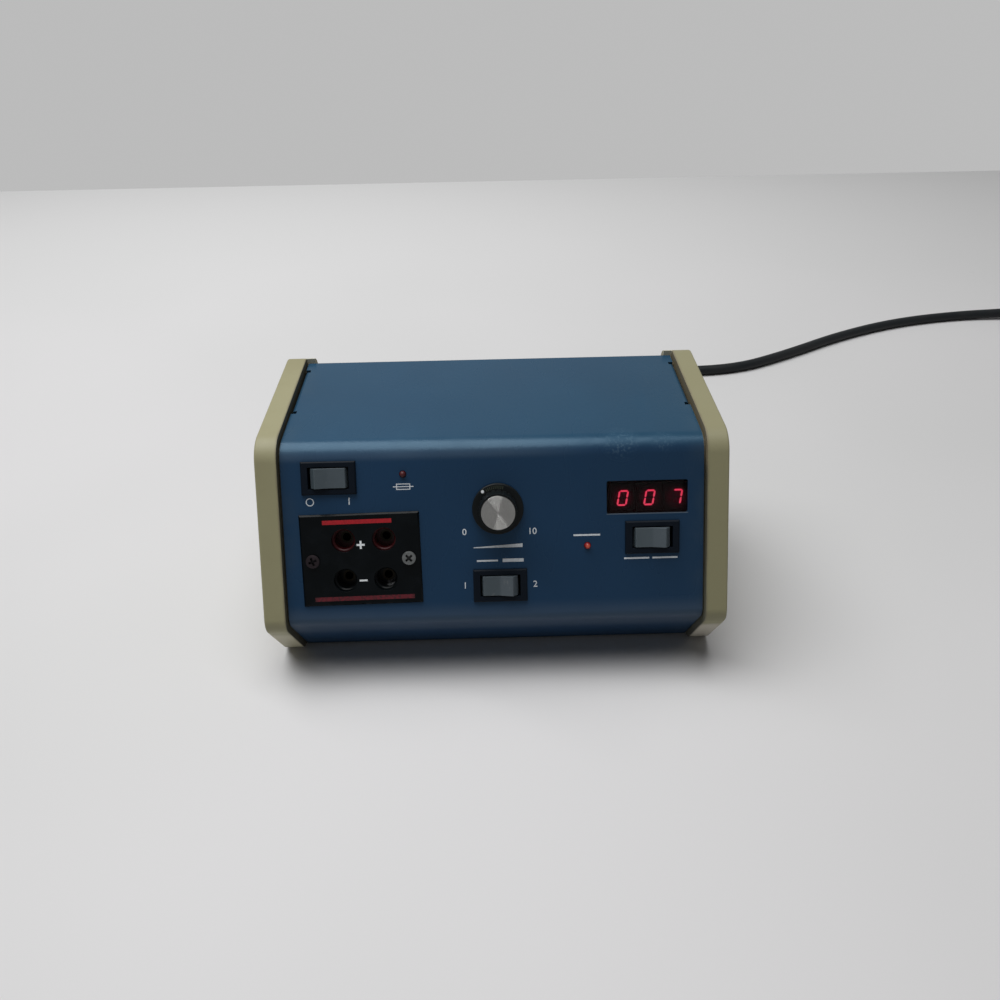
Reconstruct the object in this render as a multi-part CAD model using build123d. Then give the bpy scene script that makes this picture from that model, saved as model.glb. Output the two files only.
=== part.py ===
from build123d import *
import math
import os

# An electrophoresis power supply: a sloped sheet case between two moulded cheeks, with its
# controls on the front and its mains lead behind. Millimetres, +Z up, the front looks along -Y.
# Shapes are drawn with y from the front tip of the cheeks and z from their lower edge, and
# save() moves them so that the origin is under the middle of the box, on the table.

# The case over all; places that keep to one side are counted from that side
case_width = 220.0
case_depth = 135.2
case_height = 112.3
half_width = case_width / 2

# Side outline of a cheek, as sharp corners (y, z) and their radii
toe = (21.5, 0.0)
nose = (0.0, 35.2)
brow = (42.5, case_height)
case_back = case_depth
corner_radius = 8.5
brow_radius = 14.5

# Cheeks
cheek_rim = 10.4
cheek_wall = 3.0
cheek_edge_radius = 1.0
ledge_depth = 3.0
ledge_reach = 4.4
return_gap = 0.4
rib_thick = 2.0
rib_height = 5.0
upright_ribs = (55.0, 90.0)
level_rib = 56.0
level_rib_front = 20.0

# Sheet metal, set in from the cheeks' outline
sheet = 1.5
wrap_gap = 3.0
wrap_side_gap = 0.8
wrap_end = 128.7
rear_inset = 0.7
rear_face = wrap_end - rear_inset
wrap_low = 0.6
tab_front = 77.6
tab_rear = 118.2
tab_drop = 16.0
notch_width = 2.5
notch_depth = 2.6
bend_radius = 2.0
flange_height = 22.0
flange_ends = (32.0, rear_face - 8.3)
top_flange = 14.0

# Screws through the cheeks, (y, z), and feet
tab_screws = ((86.0, case_height - 11.3), (109.0, case_height - 11.3))
chassis_screws = ((41.0, 16.0), (106.0, 16.0))
screw_radius = 1.75
head_radius = 3.2
head_height = 2.2
hole_clearance = 0.15
head_recess = 3.0
foot_drop = 0.8
foot_radius = 8.0
feet_x = half_width - 30.0
feet_y = (42.0, case_back - 17.3)

# Rocker switches: centre x, distance down the slope, terminals, rest turn in degrees
switch_list = (
    ("power", 33.5 - half_width, 16.3, 4, 9.0),
    ("range", 2.3, 69.4, 3, -9.0),
    ("meter", half_width - 35.5, 47.9, 3, -9.0),
)
frame_size = (25.6, 15.7)
frame_proud = 1.6
frame_window = (19.0, 10.3)
switch_body = (22.6, 12.6)
switch_depth = 15.0
switch_floor = 2.0
cutout_clearance = 0.2
rocker_size = (17.6, 9.3)
rocker_end_height = 3.4
rocker_mid_height = 2.2
rocker_end_slope = 1.8
rocker_hinge_depth = 3.5
rocker_skirt = 3.5
rocker_keel = 8.0
pin_radius = 1.0
pin_clearance = 0.05
pin_length = 0.7
spade = (4.8, 0.8, 8.0)

# Voltage knob and its potentiometer
knob_at = (1.9, 32.4)
knob_rest_turn = 40.0
skirt_radius = 12.0
skirt_low = 0.8
skirt_high = 3.4
grip_radius = 9.1
grip_top_radius = 8.7
knob_height = 15.3
flutes = 20
flute_radius = 0.8
cap_radius = 7.7
cap_height = 15.6
cap_thick = 1.1
fit_clearance = 0.05
skirt_chamfer = 0.4
dot_radius = 0.75
dot_reach = 10.75
shaft_radius = 3.0
shaft_top = 13.0
bushing_radius = 4.75
bushing_top = 5.4
nut_flats = 13.0
nut_thick = 2.4
washer_thick = 0.8
washer_radius = 7.4
pot_radius = 12.0
pot_depth = 14.0

# Output jack block: centre, turn in degrees, and the grid of four jacks on it
block_at = (47.0 - half_width, 55.1)
block_turn = 0.8
block_size = (56.4, 43.9)
block_proud = 1.2
block_chamfer = 0.8
block_body = 35.0
block_depth = 13.0
grid_shift = (1.7, -0.2)
jack_pitch = 19.05
well_radius = 5.6
liner_radius = 4.6
liner_lip = 2.0
liner_floor = 9.0
contact_radius = 3.0
contact_bore = 2.0
contact_end = 27.0
jack_nut_flats = 9.0
jack_nut_thick = 3.0
block_screw_reach = 22.6
block_head = 1.5

# Display, behind the panel's cut-out, and the two lamps
window_insets = (56.9, 18.7)
window_x = (half_width - window_insets[0], half_width - window_insets[1])
window_s = (21.0, 36.6)
filter_thick = 2.0
filter_lap = 1.6
digit_x = (half_width - 48.7, half_width - 36.0, half_width - 23.3)
digit_s = 29.7
digit_block = (12.5, 14.6, 6.0)
digit_face = 4.0
display_board_insets = (65.5, 15.2)
display_board_x = (half_width - display_board_insets[0], half_width - display_board_insets[1])
display_board_s = (12.5, 40.4)
board_thick = 1.6
display_posts_at = ((half_width - 60.0, 16.0), (half_width - 20.0, 16.0), (half_width - 62.5, 37.0))
post_radius = 2.3
lamp_insets = (68.0, 66.1)
lamp_list = (
    ("fuse_led", lamp_insets[0] - half_width, 15.3),
    ("overcurrent_led", half_width - lamp_insets[1], 51.4),
)
lamp_radius = 1.5
lamp_proud = 0.5
lamp_flange = 1.9
lamp_depth = 4.5
clip_radius = 3.4

# Mains transformer at the left of the chassis
transformer_at = (52.0 - half_width, 86.0)
core_size = (60.0, 34.0, 50.0)
core_window = (10.0, 30.0)
winding_clearance = 1.0
winding_build = 10.0
bolt_inset = 4.5
bolt_radius = 1.8
bolt_head = (3.2, 2.6)

# Main board, from beside the transformer to the right, with the parts on it from its right end
board_gap = 8.0
board_left = transformer_at[0] + core_size[0] / 2 + board_gap
board_right = half_width - 22.0
board_y = (48.0, 112.0)
board_height = 12.0
board_post_radius = 3.0
board_post_inset = 5.0
capacitor_radius = 12.5
capacitor_height = 42.0
capacitor_pitch = 28.0
capacitor_y = 70.0
rectifier_size = (18.0, 18.0, 8.0)
rectifier_inset = 14.0
rectifier_y = 84.0
part_gap = 2.5

# Heat sink above the board
sink_length = 66.0
sink_z = (44.0, 92.0)
sink_thick = 3.0
sink_leg = 26.0
transistor_size = (16.0, 5.0, 20.0)
transistor_rise = 16.0
transistors_along = (20.0, 48.0)

# Rear panel: vent slots, fuse holder and mains lead
vents = 7
vent_first = 36.0 - half_width
vent_pitch = 8.0
vent_size = (3.0, 34.0)
vent_height = 66.0
fuse_inset = 72.0
fuse_at = (half_width - fuse_inset, 26.0)
holder_radius = 6.4
holder_flange = 9.0
holder_flange_thick = 2.0
holder_length = 32.0
holder_bore = 4.6
fuse_bore = 3.5
fuse_radius = 3.15
fuse_length = 20.0
fuse_cap_radius = 7.2
fuse_cap_reach = 8.7
fuse_cap_stem = 9.0
fuse_cap_gap = 0.4

# Mains lead: tapered relief, coil of put-away length, free run and plug
cord_diameter = 7.6
cord_lift = 0.05
relief_radius = 7.0
relief_flange = 9.5
relief_flange_thick = 2.0
relief_tip = 4.7
relief_length = 32.0
exit_height = 18.0
coil_inset = 90.0
coil_center = (half_width - coil_inset, case_back + 102.8)
coil_inner = 28.5
coil_pitch = 9.8
coil_layer = 8.15
half_turns_in = 5
half_turns_out = 4
lead_straight = 24.0
lead_landing = 50.0
plug_tail = 24.0
plug_length = 36.0
plug_size = (27.0, 25.0)
plug_axis_height = 12.9
blade_size = (1.5, 6.35, 17.5)
blade_pitch = 12.7
blade_rise = 3.6
ground_radius = 2.4
ground_length = 20.0
ground_drop = 8.3

# Free run's bends, counted from the coil's end: right, back, and up from the resting height
plug_lift = plug_axis_height - cord_diameter / 2 - cord_lift
run_steps = (
    (0.0, 0.0, coil_layer),
    (0.0, 39.0, coil_layer),
    (26.0, 66.0, 3.0),
    (66.0, 72.0, 0.0),
    (127.9, 72.5, 0.0),
    (176.9, 95.5, 0.0),
    (233.9, 129.0, 0.0),
    (293.9, 154.0, 0.0),
    (355.9, 166.0, 0.0),
    (405.9, 165.0, 2.0),
    (443.9, 160.0, plug_lift),
    (473.9, 155.0, plug_lift),
)

rim_inner = half_width - cheek_rim
ledge_inner = rim_inner - ledge_reach
wrap_half = rim_inner - wrap_side_gap
lean = math.atan2(brow[0] - nose[0], brow[1] - nose[1])
panel_normal = Vector(0, -math.cos(lean), math.sin(lean))
panel_down = Vector(0, -math.sin(lean), -math.cos(lean))
panel_top = Vector(0, brow[0], brow[1]) - panel_normal * wrap_gap
bevel_lean = math.atan2(toe[0] - nose[0], nose[1] - toe[1])
nose_turn = (lean + bevel_lean) / 2
front_most = corner_radius / math.cos(nose_turn) * math.cos((lean - bevel_lean) / 2) - corner_radius
fuse_cap_back = rear_face + fuse_cap_reach
origin_y = (front_most + fuse_cap_back) / 2
floor_z = -foot_drop
cord_rest = floor_z + cord_diameter / 2 + cord_lift

os.makedirs("parts", exist_ok=True)


def save(node, *solids):
    """Writes one node, moved to the shared origin."""
    moved = [Pos(0, -origin_y, foot_drop) * solid for solid in solids]
    pieces = [piece for shape in moved for piece in shape.solids()]
    shape = pieces[0] if len(pieces) == 1 else Compound(children=pieces)
    export_step(shape, f"parts/{node}.step")


def print_place(name, place):
    """Prints a place in the shared frame, in metres, for the record's joints and mounts."""
    spot = (Pos(0, -origin_y, foot_drop) * place).position
    print(name, [round(value / 1000, 6) for value in spot])


def rod(radius, low, high):
    """Cylinder on the local z axis between two heights."""
    return Pos(0, 0, low) * Cylinder(radius, high - low, align=(Align.CENTER, Align.CENTER, Align.MIN))


def slab(width, depth, low, high):
    """Box centred on the local z axis between two heights."""
    return Pos(0, 0, (low + high) / 2) * Box(width, depth, high - low)


def block(x, y, z):
    """Box between two values on each axis."""
    center = Pos((x[0] + x[1]) / 2, (y[0] + y[1]) / 2, (z[0] + z[1]) / 2)
    return center * Box(x[1] - x[0], y[1] - y[0], z[1] - z[0])


def on_panel(x, s, turn=0.0):
    """Place on the panel's outer face: local x right, y up the slope, z outward."""
    spot = panel_top + panel_down * s
    return Plane(origin=(x, spot.Y, spot.Z), x_dir=(1, 0, 0), z_dir=panel_normal).location * Rot(0, 0, turn)


def along_x(face, low, high):
    """Extrudes a face drawn in (y, z) from one x to another."""
    return extrude(Plane.YZ.offset(low) * face, amount=high - low)


def round_corner(face, corner, radius):
    """Rounds the corner of a flat face that lies nearest a point."""
    vertex = face.vertices().sort_by_distance((corner[0], corner[1], 0))[0]
    return fillet(vertex, radius)


def inset_face(face, inset):
    """The face drawn in by a distance."""
    if inset == 0:
        return face
    return offset(face, amount=-inset, kind=Kind.INTERSECTION)


def side_face(inset, back=case_back):
    """The case's side outline in (y, z), every corner round, drawn in by a distance."""
    corners = (toe, nose, brow, (back, brow[1]), (back, 0.0))
    face = make_face(Polyline(*corners, close=True))
    for corner in corners:
        radius = brow_radius if corner == brow else corner_radius
        face = round_corner(face, corner, radius)
    return inset_face(face, inset)


def open_face(inset):
    """Side outline that runs on behind and below, for the sheet that wraps top and front."""
    reach = 60.0
    run_on = (toe[0] + (toe[0] - nose[0]), toe[1] + (toe[1] - nose[1]))
    corners = (run_on, nose, brow, (case_back + reach, brow[1]), (case_back + reach, run_on[1]))
    face = make_face(Polyline(*corners, close=True))
    face = round_corner(face, nose, corner_radius)
    face = round_corner(face, brow, brow_radius)
    return inset_face(face, inset)


def clip(face, y, z):
    """Keeps the part of a (y, z) face inside a rectangle."""
    window = Pos((y[0] + y[1]) / 2, (z[0] + z[1]) / 2) * Rectangle(y[1] - y[0], z[1] - z[0])
    return face & window


def cross_hole(radius, low, high, y, z):
    """Cylinder along x at a place in (y, z)."""
    return Pos(0, y, z) * Rot(0, 90, 0) * rod(radius, low, high)


# Right cheek: rim, outer wall, ledge that carries the sheet, ribs and screw bosses
def right_cheek():
    wall_inner = half_width - cheek_wall
    outer = wrap_gap + sheet
    hollow = side_face(outer + ledge_depth)
    shell = along_x(side_face(0), wall_inner, half_width)
    shell = fillet(shell.edges().group_by(Axis.X)[-1], cheek_edge_radius)
    shell += along_x(side_face(0) - hollow, rim_inner, wall_inner)
    ledge = along_x(side_face(outer) - hollow, ledge_inner, rim_inner)
    gap = (tab_front - notch_width, tab_rear + notch_width)
    ledge -= block((ledge_inner - 1, rim_inner), gap, (brow[1] - tab_drop - 8, brow[1]))
    shell += ledge
    behind_sheet = clip(side_face(0) - hollow, (wrap_end + return_gap, case_back), (0, brow[1]))
    shell += along_x(behind_sheet, ledge_inner, rim_inner)
    rib_x = (wall_inner - rib_height, wall_inner)
    for middle in upright_ribs:
        shell += block(rib_x, (middle, middle + rib_thick), (outer, brow[1] - outer))
    shell += block(rib_x, (level_rib_front, case_back - outer), (level_rib, level_rib + rib_thick))
    boss_radius = head_radius + 1.6
    for spots, inner in ((tab_screws, wrap_half), (chassis_screws, ledge_inner)):
        for y, z in spots:
            shell += cross_hole(boss_radius, inner, wall_inner, y, z)
            shell -= cross_hole(screw_radius + hole_clearance, inner - 1, half_width + 1, y, z)
            shell -= cross_hole(head_radius + hole_clearance * 2, half_width - head_recess, half_width + 1, y, z)
    return shell


# Pan-head screws, four in each cheek
def cheek_screws():
    screws = []
    seat = half_width - head_recess
    for spots, end in ((tab_screws, wrap_half - 4.0), (chassis_screws, ledge_inner - 4.0)):
        for y, z in spots:
            screw = cross_hole(screw_radius, end, seat, y, z)
            screw += cross_hole(head_radius, seat, seat + head_height, y, z)
            screws.append(screw)
            screws.append(mirror(screw, about=Plane.YZ))
    return screws


def panel_cutouts():
    """Everything cut through the sloped panel."""
    deep = 6.0
    width = switch_body[0] + 2 * cutout_clearance
    height = switch_body[1] + 2 * cutout_clearance
    cuts = [on_panel(x, s) * slab(width, height, -deep, deep) for name, x, s, count, turn in switch_list]
    grid = Pos(grid_shift[0], grid_shift[1], 0)
    side = block_body + 2 * cutout_clearance
    cuts.append(on_panel(*block_at, block_turn) * grid * slab(side, side, -deep, deep))
    for reach in (-block_screw_reach, block_screw_reach):
        cuts.append(on_panel(*block_at, block_turn) * Pos(reach, 0, 0) * rod(screw_radius, -deep, deep))
    middle = on_panel(sum(window_x) / 2, sum(window_s) / 2)
    window = slab(window_x[1] - window_x[0], window_s[1] - window_s[0], -deep, deep)
    cuts.append(middle * fillet(window.edges().filter_by(Axis.Z), 1.0))
    for name, x, s in lamp_list:
        cuts.append(on_panel(x, s) * rod(lamp_radius + cutout_clearance, -deep, deep))
    cuts.append(on_panel(*knob_at) * rod(bushing_radius + cutout_clearance, -deep, deep))
    return cuts


# Painted sheet: top, sloped front and lower bevel in one piece, with a folded tab each side
def case_wrap():
    band = open_face(wrap_gap) - open_face(wrap_gap + sheet)
    band = clip(band, (-case_back, wrap_end), (wrap_low, brow[1]))
    wrap = along_x(band, -wrap_half, wrap_half)
    top = brow[1] - wrap_gap
    for side in (-1, 1):
        inner = wrap_half - notch_depth
        for y in (tab_front - notch_width, tab_rear):
            wrap -= block(sorted((side * inner, side * (wrap_half + 1))), (y, y + notch_width), (top - 3, top + 3))
        tab_x = sorted((side * (wrap_half - sheet), side * wrap_half))
        wrap += block(tab_x, (tab_front, tab_rear), (top - tab_drop, top))
        fold = wrap.edges().filter_by(Axis.Y).sort_by_distance((side * wrap_half, (tab_front + tab_rear) / 2, top))
        wrap = fillet(fold[0], bend_radius)
        for y, z in tab_screws:
            wrap -= cross_hole(screw_radius, -half_width, half_width, y, z)
    for cut in panel_cutouts():
        wrap -= cut
    return wrap


# Folded chassis: bottom, front and top flanges, rear wall and side flanges
def chassis():
    outer = wrap_gap + sheet
    inner_band = open_face(outer) - open_face(outer + sheet)
    front_flange = clip(inner_band, (-case_back, case_back / 2), (wrap_gap, wrap_gap + flange_height))
    upper_flange = clip(inner_band, (rear_face - top_flange, rear_face), (brow[1] / 2, brow[1]))
    tray_back = rear_face + wrap_gap
    tray = along_x(side_face(wrap_gap, tray_back), -ledge_inner, ledge_inner)
    tray -= along_x(side_face(outer, tray_back), -ledge_inner, ledge_inner)
    tray &= along_x(open_face(outer), -ledge_inner, ledge_inner)
    tray += along_x(front_flange, -ledge_inner, ledge_inner)
    tray += along_x(upper_flange, -ledge_inner, ledge_inner)
    for side in (-1, 1):
        flange_x = sorted((side * (ledge_inner - sheet), side * ledge_inner))
        tray += block(flange_x, flange_ends, (wrap_gap, wrap_gap + flange_height))
    for y, z in chassis_screws:
        tray -= cross_hole(screw_radius, -half_width, half_width, y, z)
    through = (rear_face - 4, rear_face + 4)
    for number in range(vents):
        middle = vent_first + number * vent_pitch
        slot_x = (middle - vent_size[0] / 2, middle + vent_size[0] / 2)
        slot_z = (vent_height - vent_size[1] / 2, vent_height + vent_size[1] / 2)
        tray -= block(slot_x, through, slot_z)
    tray -= Pos(fuse_at[0], rear_face + 4, fuse_at[1]) * Rot(90, 0, 0) * rod(holder_radius + cutout_clearance, 0, 8)
    tray -= Pos(relief_x(), rear_face + 4, exit_height) * Rot(90, 0, 0) * rod(relief_radius + cutout_clearance, 0, 8)
    return tray


def relief_x():
    """The lead leaves in line with the coil's outer turn."""
    return coil_center[0] + coil_inner + half_turns_in * coil_pitch / 2


# Rubber feet under the chassis
def feet():
    pads = []
    middle = (wrap_gap - foot_drop) / 2
    for x in (-feet_x, feet_x):
        for y in feet_y:
            pad = Cone(foot_radius - 0.8, foot_radius, wrap_gap + foot_drop, align=Align.CENTER)
            pads.append(Pos(x, y, middle) * pad)
    return pads


# One rocker switch's moulded frame and body, hollow for the rocker
def switch_frame():
    frame = slab(*frame_size, 0, frame_proud)
    top = frame.edges().group_by(Axis.Z)[-1]
    frame = chamfer(top, 0.6)
    frame += slab(*switch_body, -switch_depth, 0)
    frame -= slab(*frame_window, -switch_depth + switch_floor, frame_proud + 1)
    hole = Pos(0, 0, -rocker_hinge_depth) * Rot(90, 0, 0)
    reach = rocker_size[1] / 2 + pin_length + 0.1
    frame -= hole * rod(pin_radius + pin_clearance, -reach, reach)
    return frame


# The rocker, two facets on top and a keel below, on its two pins
def rocker(turn):
    half = rocker_size[0] / 2
    points = (
        (-half, 0),
        (-half + rocker_end_slope, rocker_end_height),
        (0, rocker_mid_height),
        (half - rocker_end_slope, rocker_end_height),
        (half, 0),
        (half, -rocker_skirt),
        (half * 0.3, -rocker_keel),
        (-half * 0.3, -rocker_keel),
        (-half, -rocker_skirt),
    )
    section = make_face(Polyline(*points, close=True))
    paddle = extrude(Plane.XZ * section, amount=rocker_size[1] / 2, both=True)
    ends = paddle.edges().filter_by(Axis.Y).group_by(Axis.Z)[-1]
    paddle = fillet(ends, 0.6)
    hinge = Pos(0, 0, -rocker_hinge_depth)
    reach = rocker_size[1] / 2 + pin_length
    paddle += hinge * Rot(90, 0, 0) * rod(pin_radius, -reach, reach)
    return hinge * Rot(0, turn, 0) * hinge.inverse() * paddle


# Spade terminals under a switch
def spades(count):
    rows = []
    pitch = (switch_body[0] - 4) / 2
    places = [(-pitch / 2, 3), (pitch / 2, 3), (-pitch / 2, -3), (pitch / 2, -3)]
    if count == 3:
        places = [(-pitch / 1.5, 0), (0, 0), (pitch / 1.5, 0)]
    for x, y in places:
        rows.append(Pos(x, y, 0) * slab(spade[1], spade[0], -switch_depth - spade[2], -switch_depth))
    return rows


# Knob: skirt, fluted grip, recess for the nut, bore and seat for the cap
def knob_body():
    skirt = rod(skirt_radius, skirt_low, skirt_high)
    skirt = chamfer(skirt.edges().group_by(Axis.Z)[-1], skirt_chamfer)
    grip_length = knob_height - skirt_high
    grip = Cone(grip_radius, grip_top_radius, grip_length, align=(Align.CENTER, Align.CENTER, Align.MIN))
    grip = Pos(0, 0, skirt_high) * grip
    for number in range(flutes):
        groove = Rot(0, 0, 360 * number / flutes) * Pos(grip_radius + 0.25, 0, 0)
        grip -= groove * rod(flute_radius, skirt_high, knob_height + 1)
    knob = skirt + grip
    knob -= rod(washer_radius + 0.6, 0, bushing_top + 0.6)
    knob -= rod(shaft_radius + fit_clearance, 0, shaft_top + 0.3)
    knob -= rod(cap_radius + fit_clearance, cap_height - cap_thick, knob_height + 1)
    knob -= set_screw_hole(1.55, shaft_radius, grip_radius + 1)
    knob -= dot_place() * rod(dot_radius, skirt_high - 0.4, skirt_high + 1)
    return knob


def dot_place():
    """Place of the pointer dot on the skirt, straight up before the knob is turned."""
    return Pos(0, dot_reach, 0)


def set_screw_hole(radius, low, high):
    """Rod across the knob, opposite the pointer."""
    return Pos(0, 0, 8.6) * Rot(90, 0, 0) * rod(radius, low, high)


def knob_parts():
    place = on_panel(*knob_at, knob_rest_turn)
    print_place("knob hinge", place)
    save("knob_body", place * knob_body())
    cap = rod(cap_radius, cap_height - cap_thick, cap_height)
    save("knob_cap", place * chamfer(cap.edges().group_by(Axis.Z)[-1], 0.3))
    save("knob_dot", place * dot_place() * rod(dot_radius, skirt_high - 0.4, skirt_high + 0.1))
    save("set_screw", place * set_screw_hole(1.5, shaft_radius, grip_radius - 1.8))
    save("pot_shaft", place * rod(shaft_radius, -pot_depth + 2.0, shaft_top))


# Potentiometer can with its threaded bushing, washer and nut
def pot_parts():
    place = on_panel(*knob_at)
    can = rod(pot_radius, -sheet - pot_depth, -sheet)
    can += rod(bushing_radius, -sheet, bushing_top)
    can -= rod(shaft_radius + fit_clearance, -pot_depth + 1.0, bushing_top + 1)
    save("potentiometer", place * can)
    washer = rod(washer_radius, 0, washer_thick) - rod(bushing_radius + 0.1, -1, 2)
    save("pot_washer", place * washer)
    nut = extrude(Pos(0, 0, washer_thick) * RegularPolygon(nut_flats / 2, 6, major_radius=False), nut_thick)
    save("pot_nut", place * (nut - rod(bushing_radius, -1, 8)))


def jack_places(rows):
    """Places of the jacks in the block's frame, for the upper or lower row or both."""
    places = []
    for row in rows:
        for column in (-1, 1):
            x = grid_shift[0] + column * jack_pitch / 2
            y = grid_shift[1] + row * jack_pitch / 2
            places.append(Pos(x, y, 0))
    return places


# Output block with four wells, their coloured liners, contacts and nuts
def output_parts():
    place = on_panel(*block_at, block_turn)
    plate = slab(*block_size, 0, block_proud)
    plate = chamfer(plate.edges().group_by(Axis.Z)[-1], block_chamfer)
    plate += Pos(grid_shift[0], grid_shift[1], 0) * slab(block_body, block_body, -block_depth, 0)
    for spot in jack_places((-1, 1)):
        plate -= spot * rod(well_radius, -block_depth - 1, block_proud + 1)
    for reach in (-block_screw_reach, block_screw_reach):
        plate -= Pos(reach, 0, 0) * rod(screw_radius, -1, block_proud + 1)
    save("output_block", place * plate)

    liner = rod(well_radius - fit_clearance, -block_depth, block_proud - liner_lip)
    liner -= rod(liner_radius, -liner_floor, block_proud + 1)
    liner -= rod(contact_radius, -block_depth - 1, 0)
    rim = liner.edges().filter_by(GeomType.CIRCLE).group_by(Axis.Z)[-1].sort_by(SortBy.RADIUS)[0]
    liner = chamfer(rim, 0.5)
    contact = rod(contact_radius, -contact_end, -liner_floor) - rod(contact_bore, -contact_end + 4, 0)
    nut_low = -block_depth - jack_nut_thick
    nut = extrude(Pos(0, 0, nut_low) * RegularPolygon(jack_nut_flats / 2, 6, major_radius=False), jack_nut_thick)
    nut -= rod(contact_radius, nut_low - 1, 0)
    save("red_liners", *[place * spot * liner for spot in jack_places((1,))])
    save("black_liners", *[place * spot * liner for spot in jack_places((-1,))])
    for row, name in ((1, "red"), (-1, "black")):
        for spot in jack_places((row,)):
            print_place(f"{name} jack", place * spot * Pos(0, 0, -liner_floor))
    save("jack_contacts", *[place * spot * contact for spot in jack_places((-1, 1))])
    save("jack_nuts", *[place * spot * nut for spot in jack_places((-1, 1))])

    screw = rod(head_radius, block_proud, block_proud + block_head)
    screw = chamfer(screw.edges().group_by(Axis.Z)[-1], 0.5)
    screw += rod(screw_radius - 0.15, -9, block_proud)
    save("output_screws", *[place * Pos(reach, 0, 0) * screw for reach in (-block_screw_reach, block_screw_reach)])


# Display: red filter behind the cut-out, three digit packages, their board and its posts
def display_parts():
    middle = on_panel(sum(window_x) / 2, sum(window_s) / 2)
    width = window_x[1] - window_x[0] + 2 * filter_lap
    height = window_s[1] - window_s[0] + 2 * filter_lap
    save("display_window", middle * slab(width, height, -sheet - filter_thick, -sheet))
    back = digit_face + digit_block[2]
    digits = [on_panel(x, digit_s) * slab(*digit_block[:2], -back, -digit_face) for x in digit_x]
    save("display_digits", *digits)
    board_middle = on_panel(sum(display_board_x) / 2, sum(display_board_s) / 2)
    width = display_board_x[1] - display_board_x[0]
    height = display_board_s[1] - display_board_s[0]
    save("display_board", board_middle * slab(width, height, -back - board_thick, -back))
    posts = [on_panel(x, s) * rod(post_radius, -back, -sheet) for x, s in display_posts_at]
    save("display_posts", *posts)


# Indicator lamps with a domed end, held from behind by a clip
def lamp_parts():
    clips = []
    for name, x, s in lamp_list:
        lamp = rod(lamp_radius, -lamp_depth, lamp_proud) + rod(lamp_flange, -lamp_depth - 1, -lamp_depth)
        dome = Pos(0, 0, lamp_proud) * Sphere(lamp_radius) & rod(lamp_flange, lamp_proud, lamp_depth)
        save(name, on_panel(x, s) * (lamp + dome))
        ring = rod(clip_radius, -lamp_depth, -sheet) - rod(lamp_radius, -lamp_depth * 2, 0)
        clips.append(on_panel(x, s) * ring)
    save("led_clips", *clips)


# Main board on posts, with its capacitors and rectifier
def board_parts():
    low = wrap_gap + sheet
    top = low + board_height + board_thick
    save("main_board", block((board_left, board_right), board_y, (top - board_thick, top)))
    posts = []
    for x in (board_left + board_post_inset, board_right - board_post_inset):
        for y in (board_y[0] + board_post_inset, board_y[1] - board_post_inset):
            posts.append(Pos(x, y, 0) * rod(board_post_radius, low, top - board_thick))
    save("board_posts", *posts)
    x = board_right - rectifier_inset
    save("rectifier", Pos(x, rectifier_y, top + rectifier_size[2] / 2) * Box(*rectifier_size))
    cans = []
    x -= rectifier_size[0] / 2 + capacitor_radius + part_gap
    for middle in (x - capacitor_pitch, x):
        can = Pos(middle, capacitor_y, 0) * rod(capacitor_radius, top, top + capacitor_height)
        cans.append(fillet(can.edges().group_by(Axis.Z)[-1], 1.2))
    save("filter_capacitors", *cans)


# Mains transformer: laminated core with two windows, winding and two long bolts
def transformer_parts():
    place = Pos(*transformer_at, wrap_gap + sheet)
    width, depth, height = core_size
    core = slab(width, depth, 0, height)
    middle_limb = (width - 2 * core_window[0]) / 2
    shift = middle_limb / 2 + core_window[0] / 2
    window_low = (height - core_window[1]) / 2
    for side in (-shift, shift):
        core -= Pos(side, 0, 0) * slab(core_window[0], depth + 2, window_low, window_low + core_window[1])
    winding_width = middle_limb + 2 * (core_window[0] - winding_clearance)
    winding_low = window_low + winding_clearance / 2
    winding_high = window_low + core_window[1] - winding_clearance / 2
    winding = slab(winding_width, depth + 2 * winding_build, winding_low, winding_high)
    winding = fillet(winding.edges().filter_by(Axis.Z), 4.0)
    winding -= slab(middle_limb, depth, 0, height)
    bolts = []
    reach = depth / 2
    for side in (-1, 1):
        spot = Pos(side * (width / 2 - bolt_inset), 0, height - bolt_inset) * Rot(90, 0, 0)
        core -= spot * rod(bolt_radius, -reach - 1, reach + 1)
        bolt = rod(bolt_radius, -reach, reach) + rod(bolt_head[0], reach, reach + bolt_head[1])
        bolt += rod(bolt_head[0], -reach - bolt_head[1], -reach)
        bolts.append(place * spot * bolt)
    save("transformer_core", place * core)
    save("transformer_winding", place * winding)
    save("transformer_bolts", *bolts)


# Heat sink angle on the rear wall, with two power transistors
def sink_parts():
    wall = rear_face - sheet
    along = (board_left, board_left + sink_length)
    sink = block(along, (wall - sink_thick, wall), sink_z)
    sink += block(along, (wall - sink_leg, wall), (sink_z[0], sink_z[0] + sink_thick))
    save("heat_sink", sink)
    low = sink_z[0] + transistor_rise
    half = transistor_size[0] / 2
    back = wall - sink_thick
    cans = []
    for shift in transistors_along:
        x = board_left + shift
        cans.append(block((x - half, x + half), (back - transistor_size[1], back), (low, low + transistor_size[2])))
    save("power_transistors", *cans)


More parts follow.
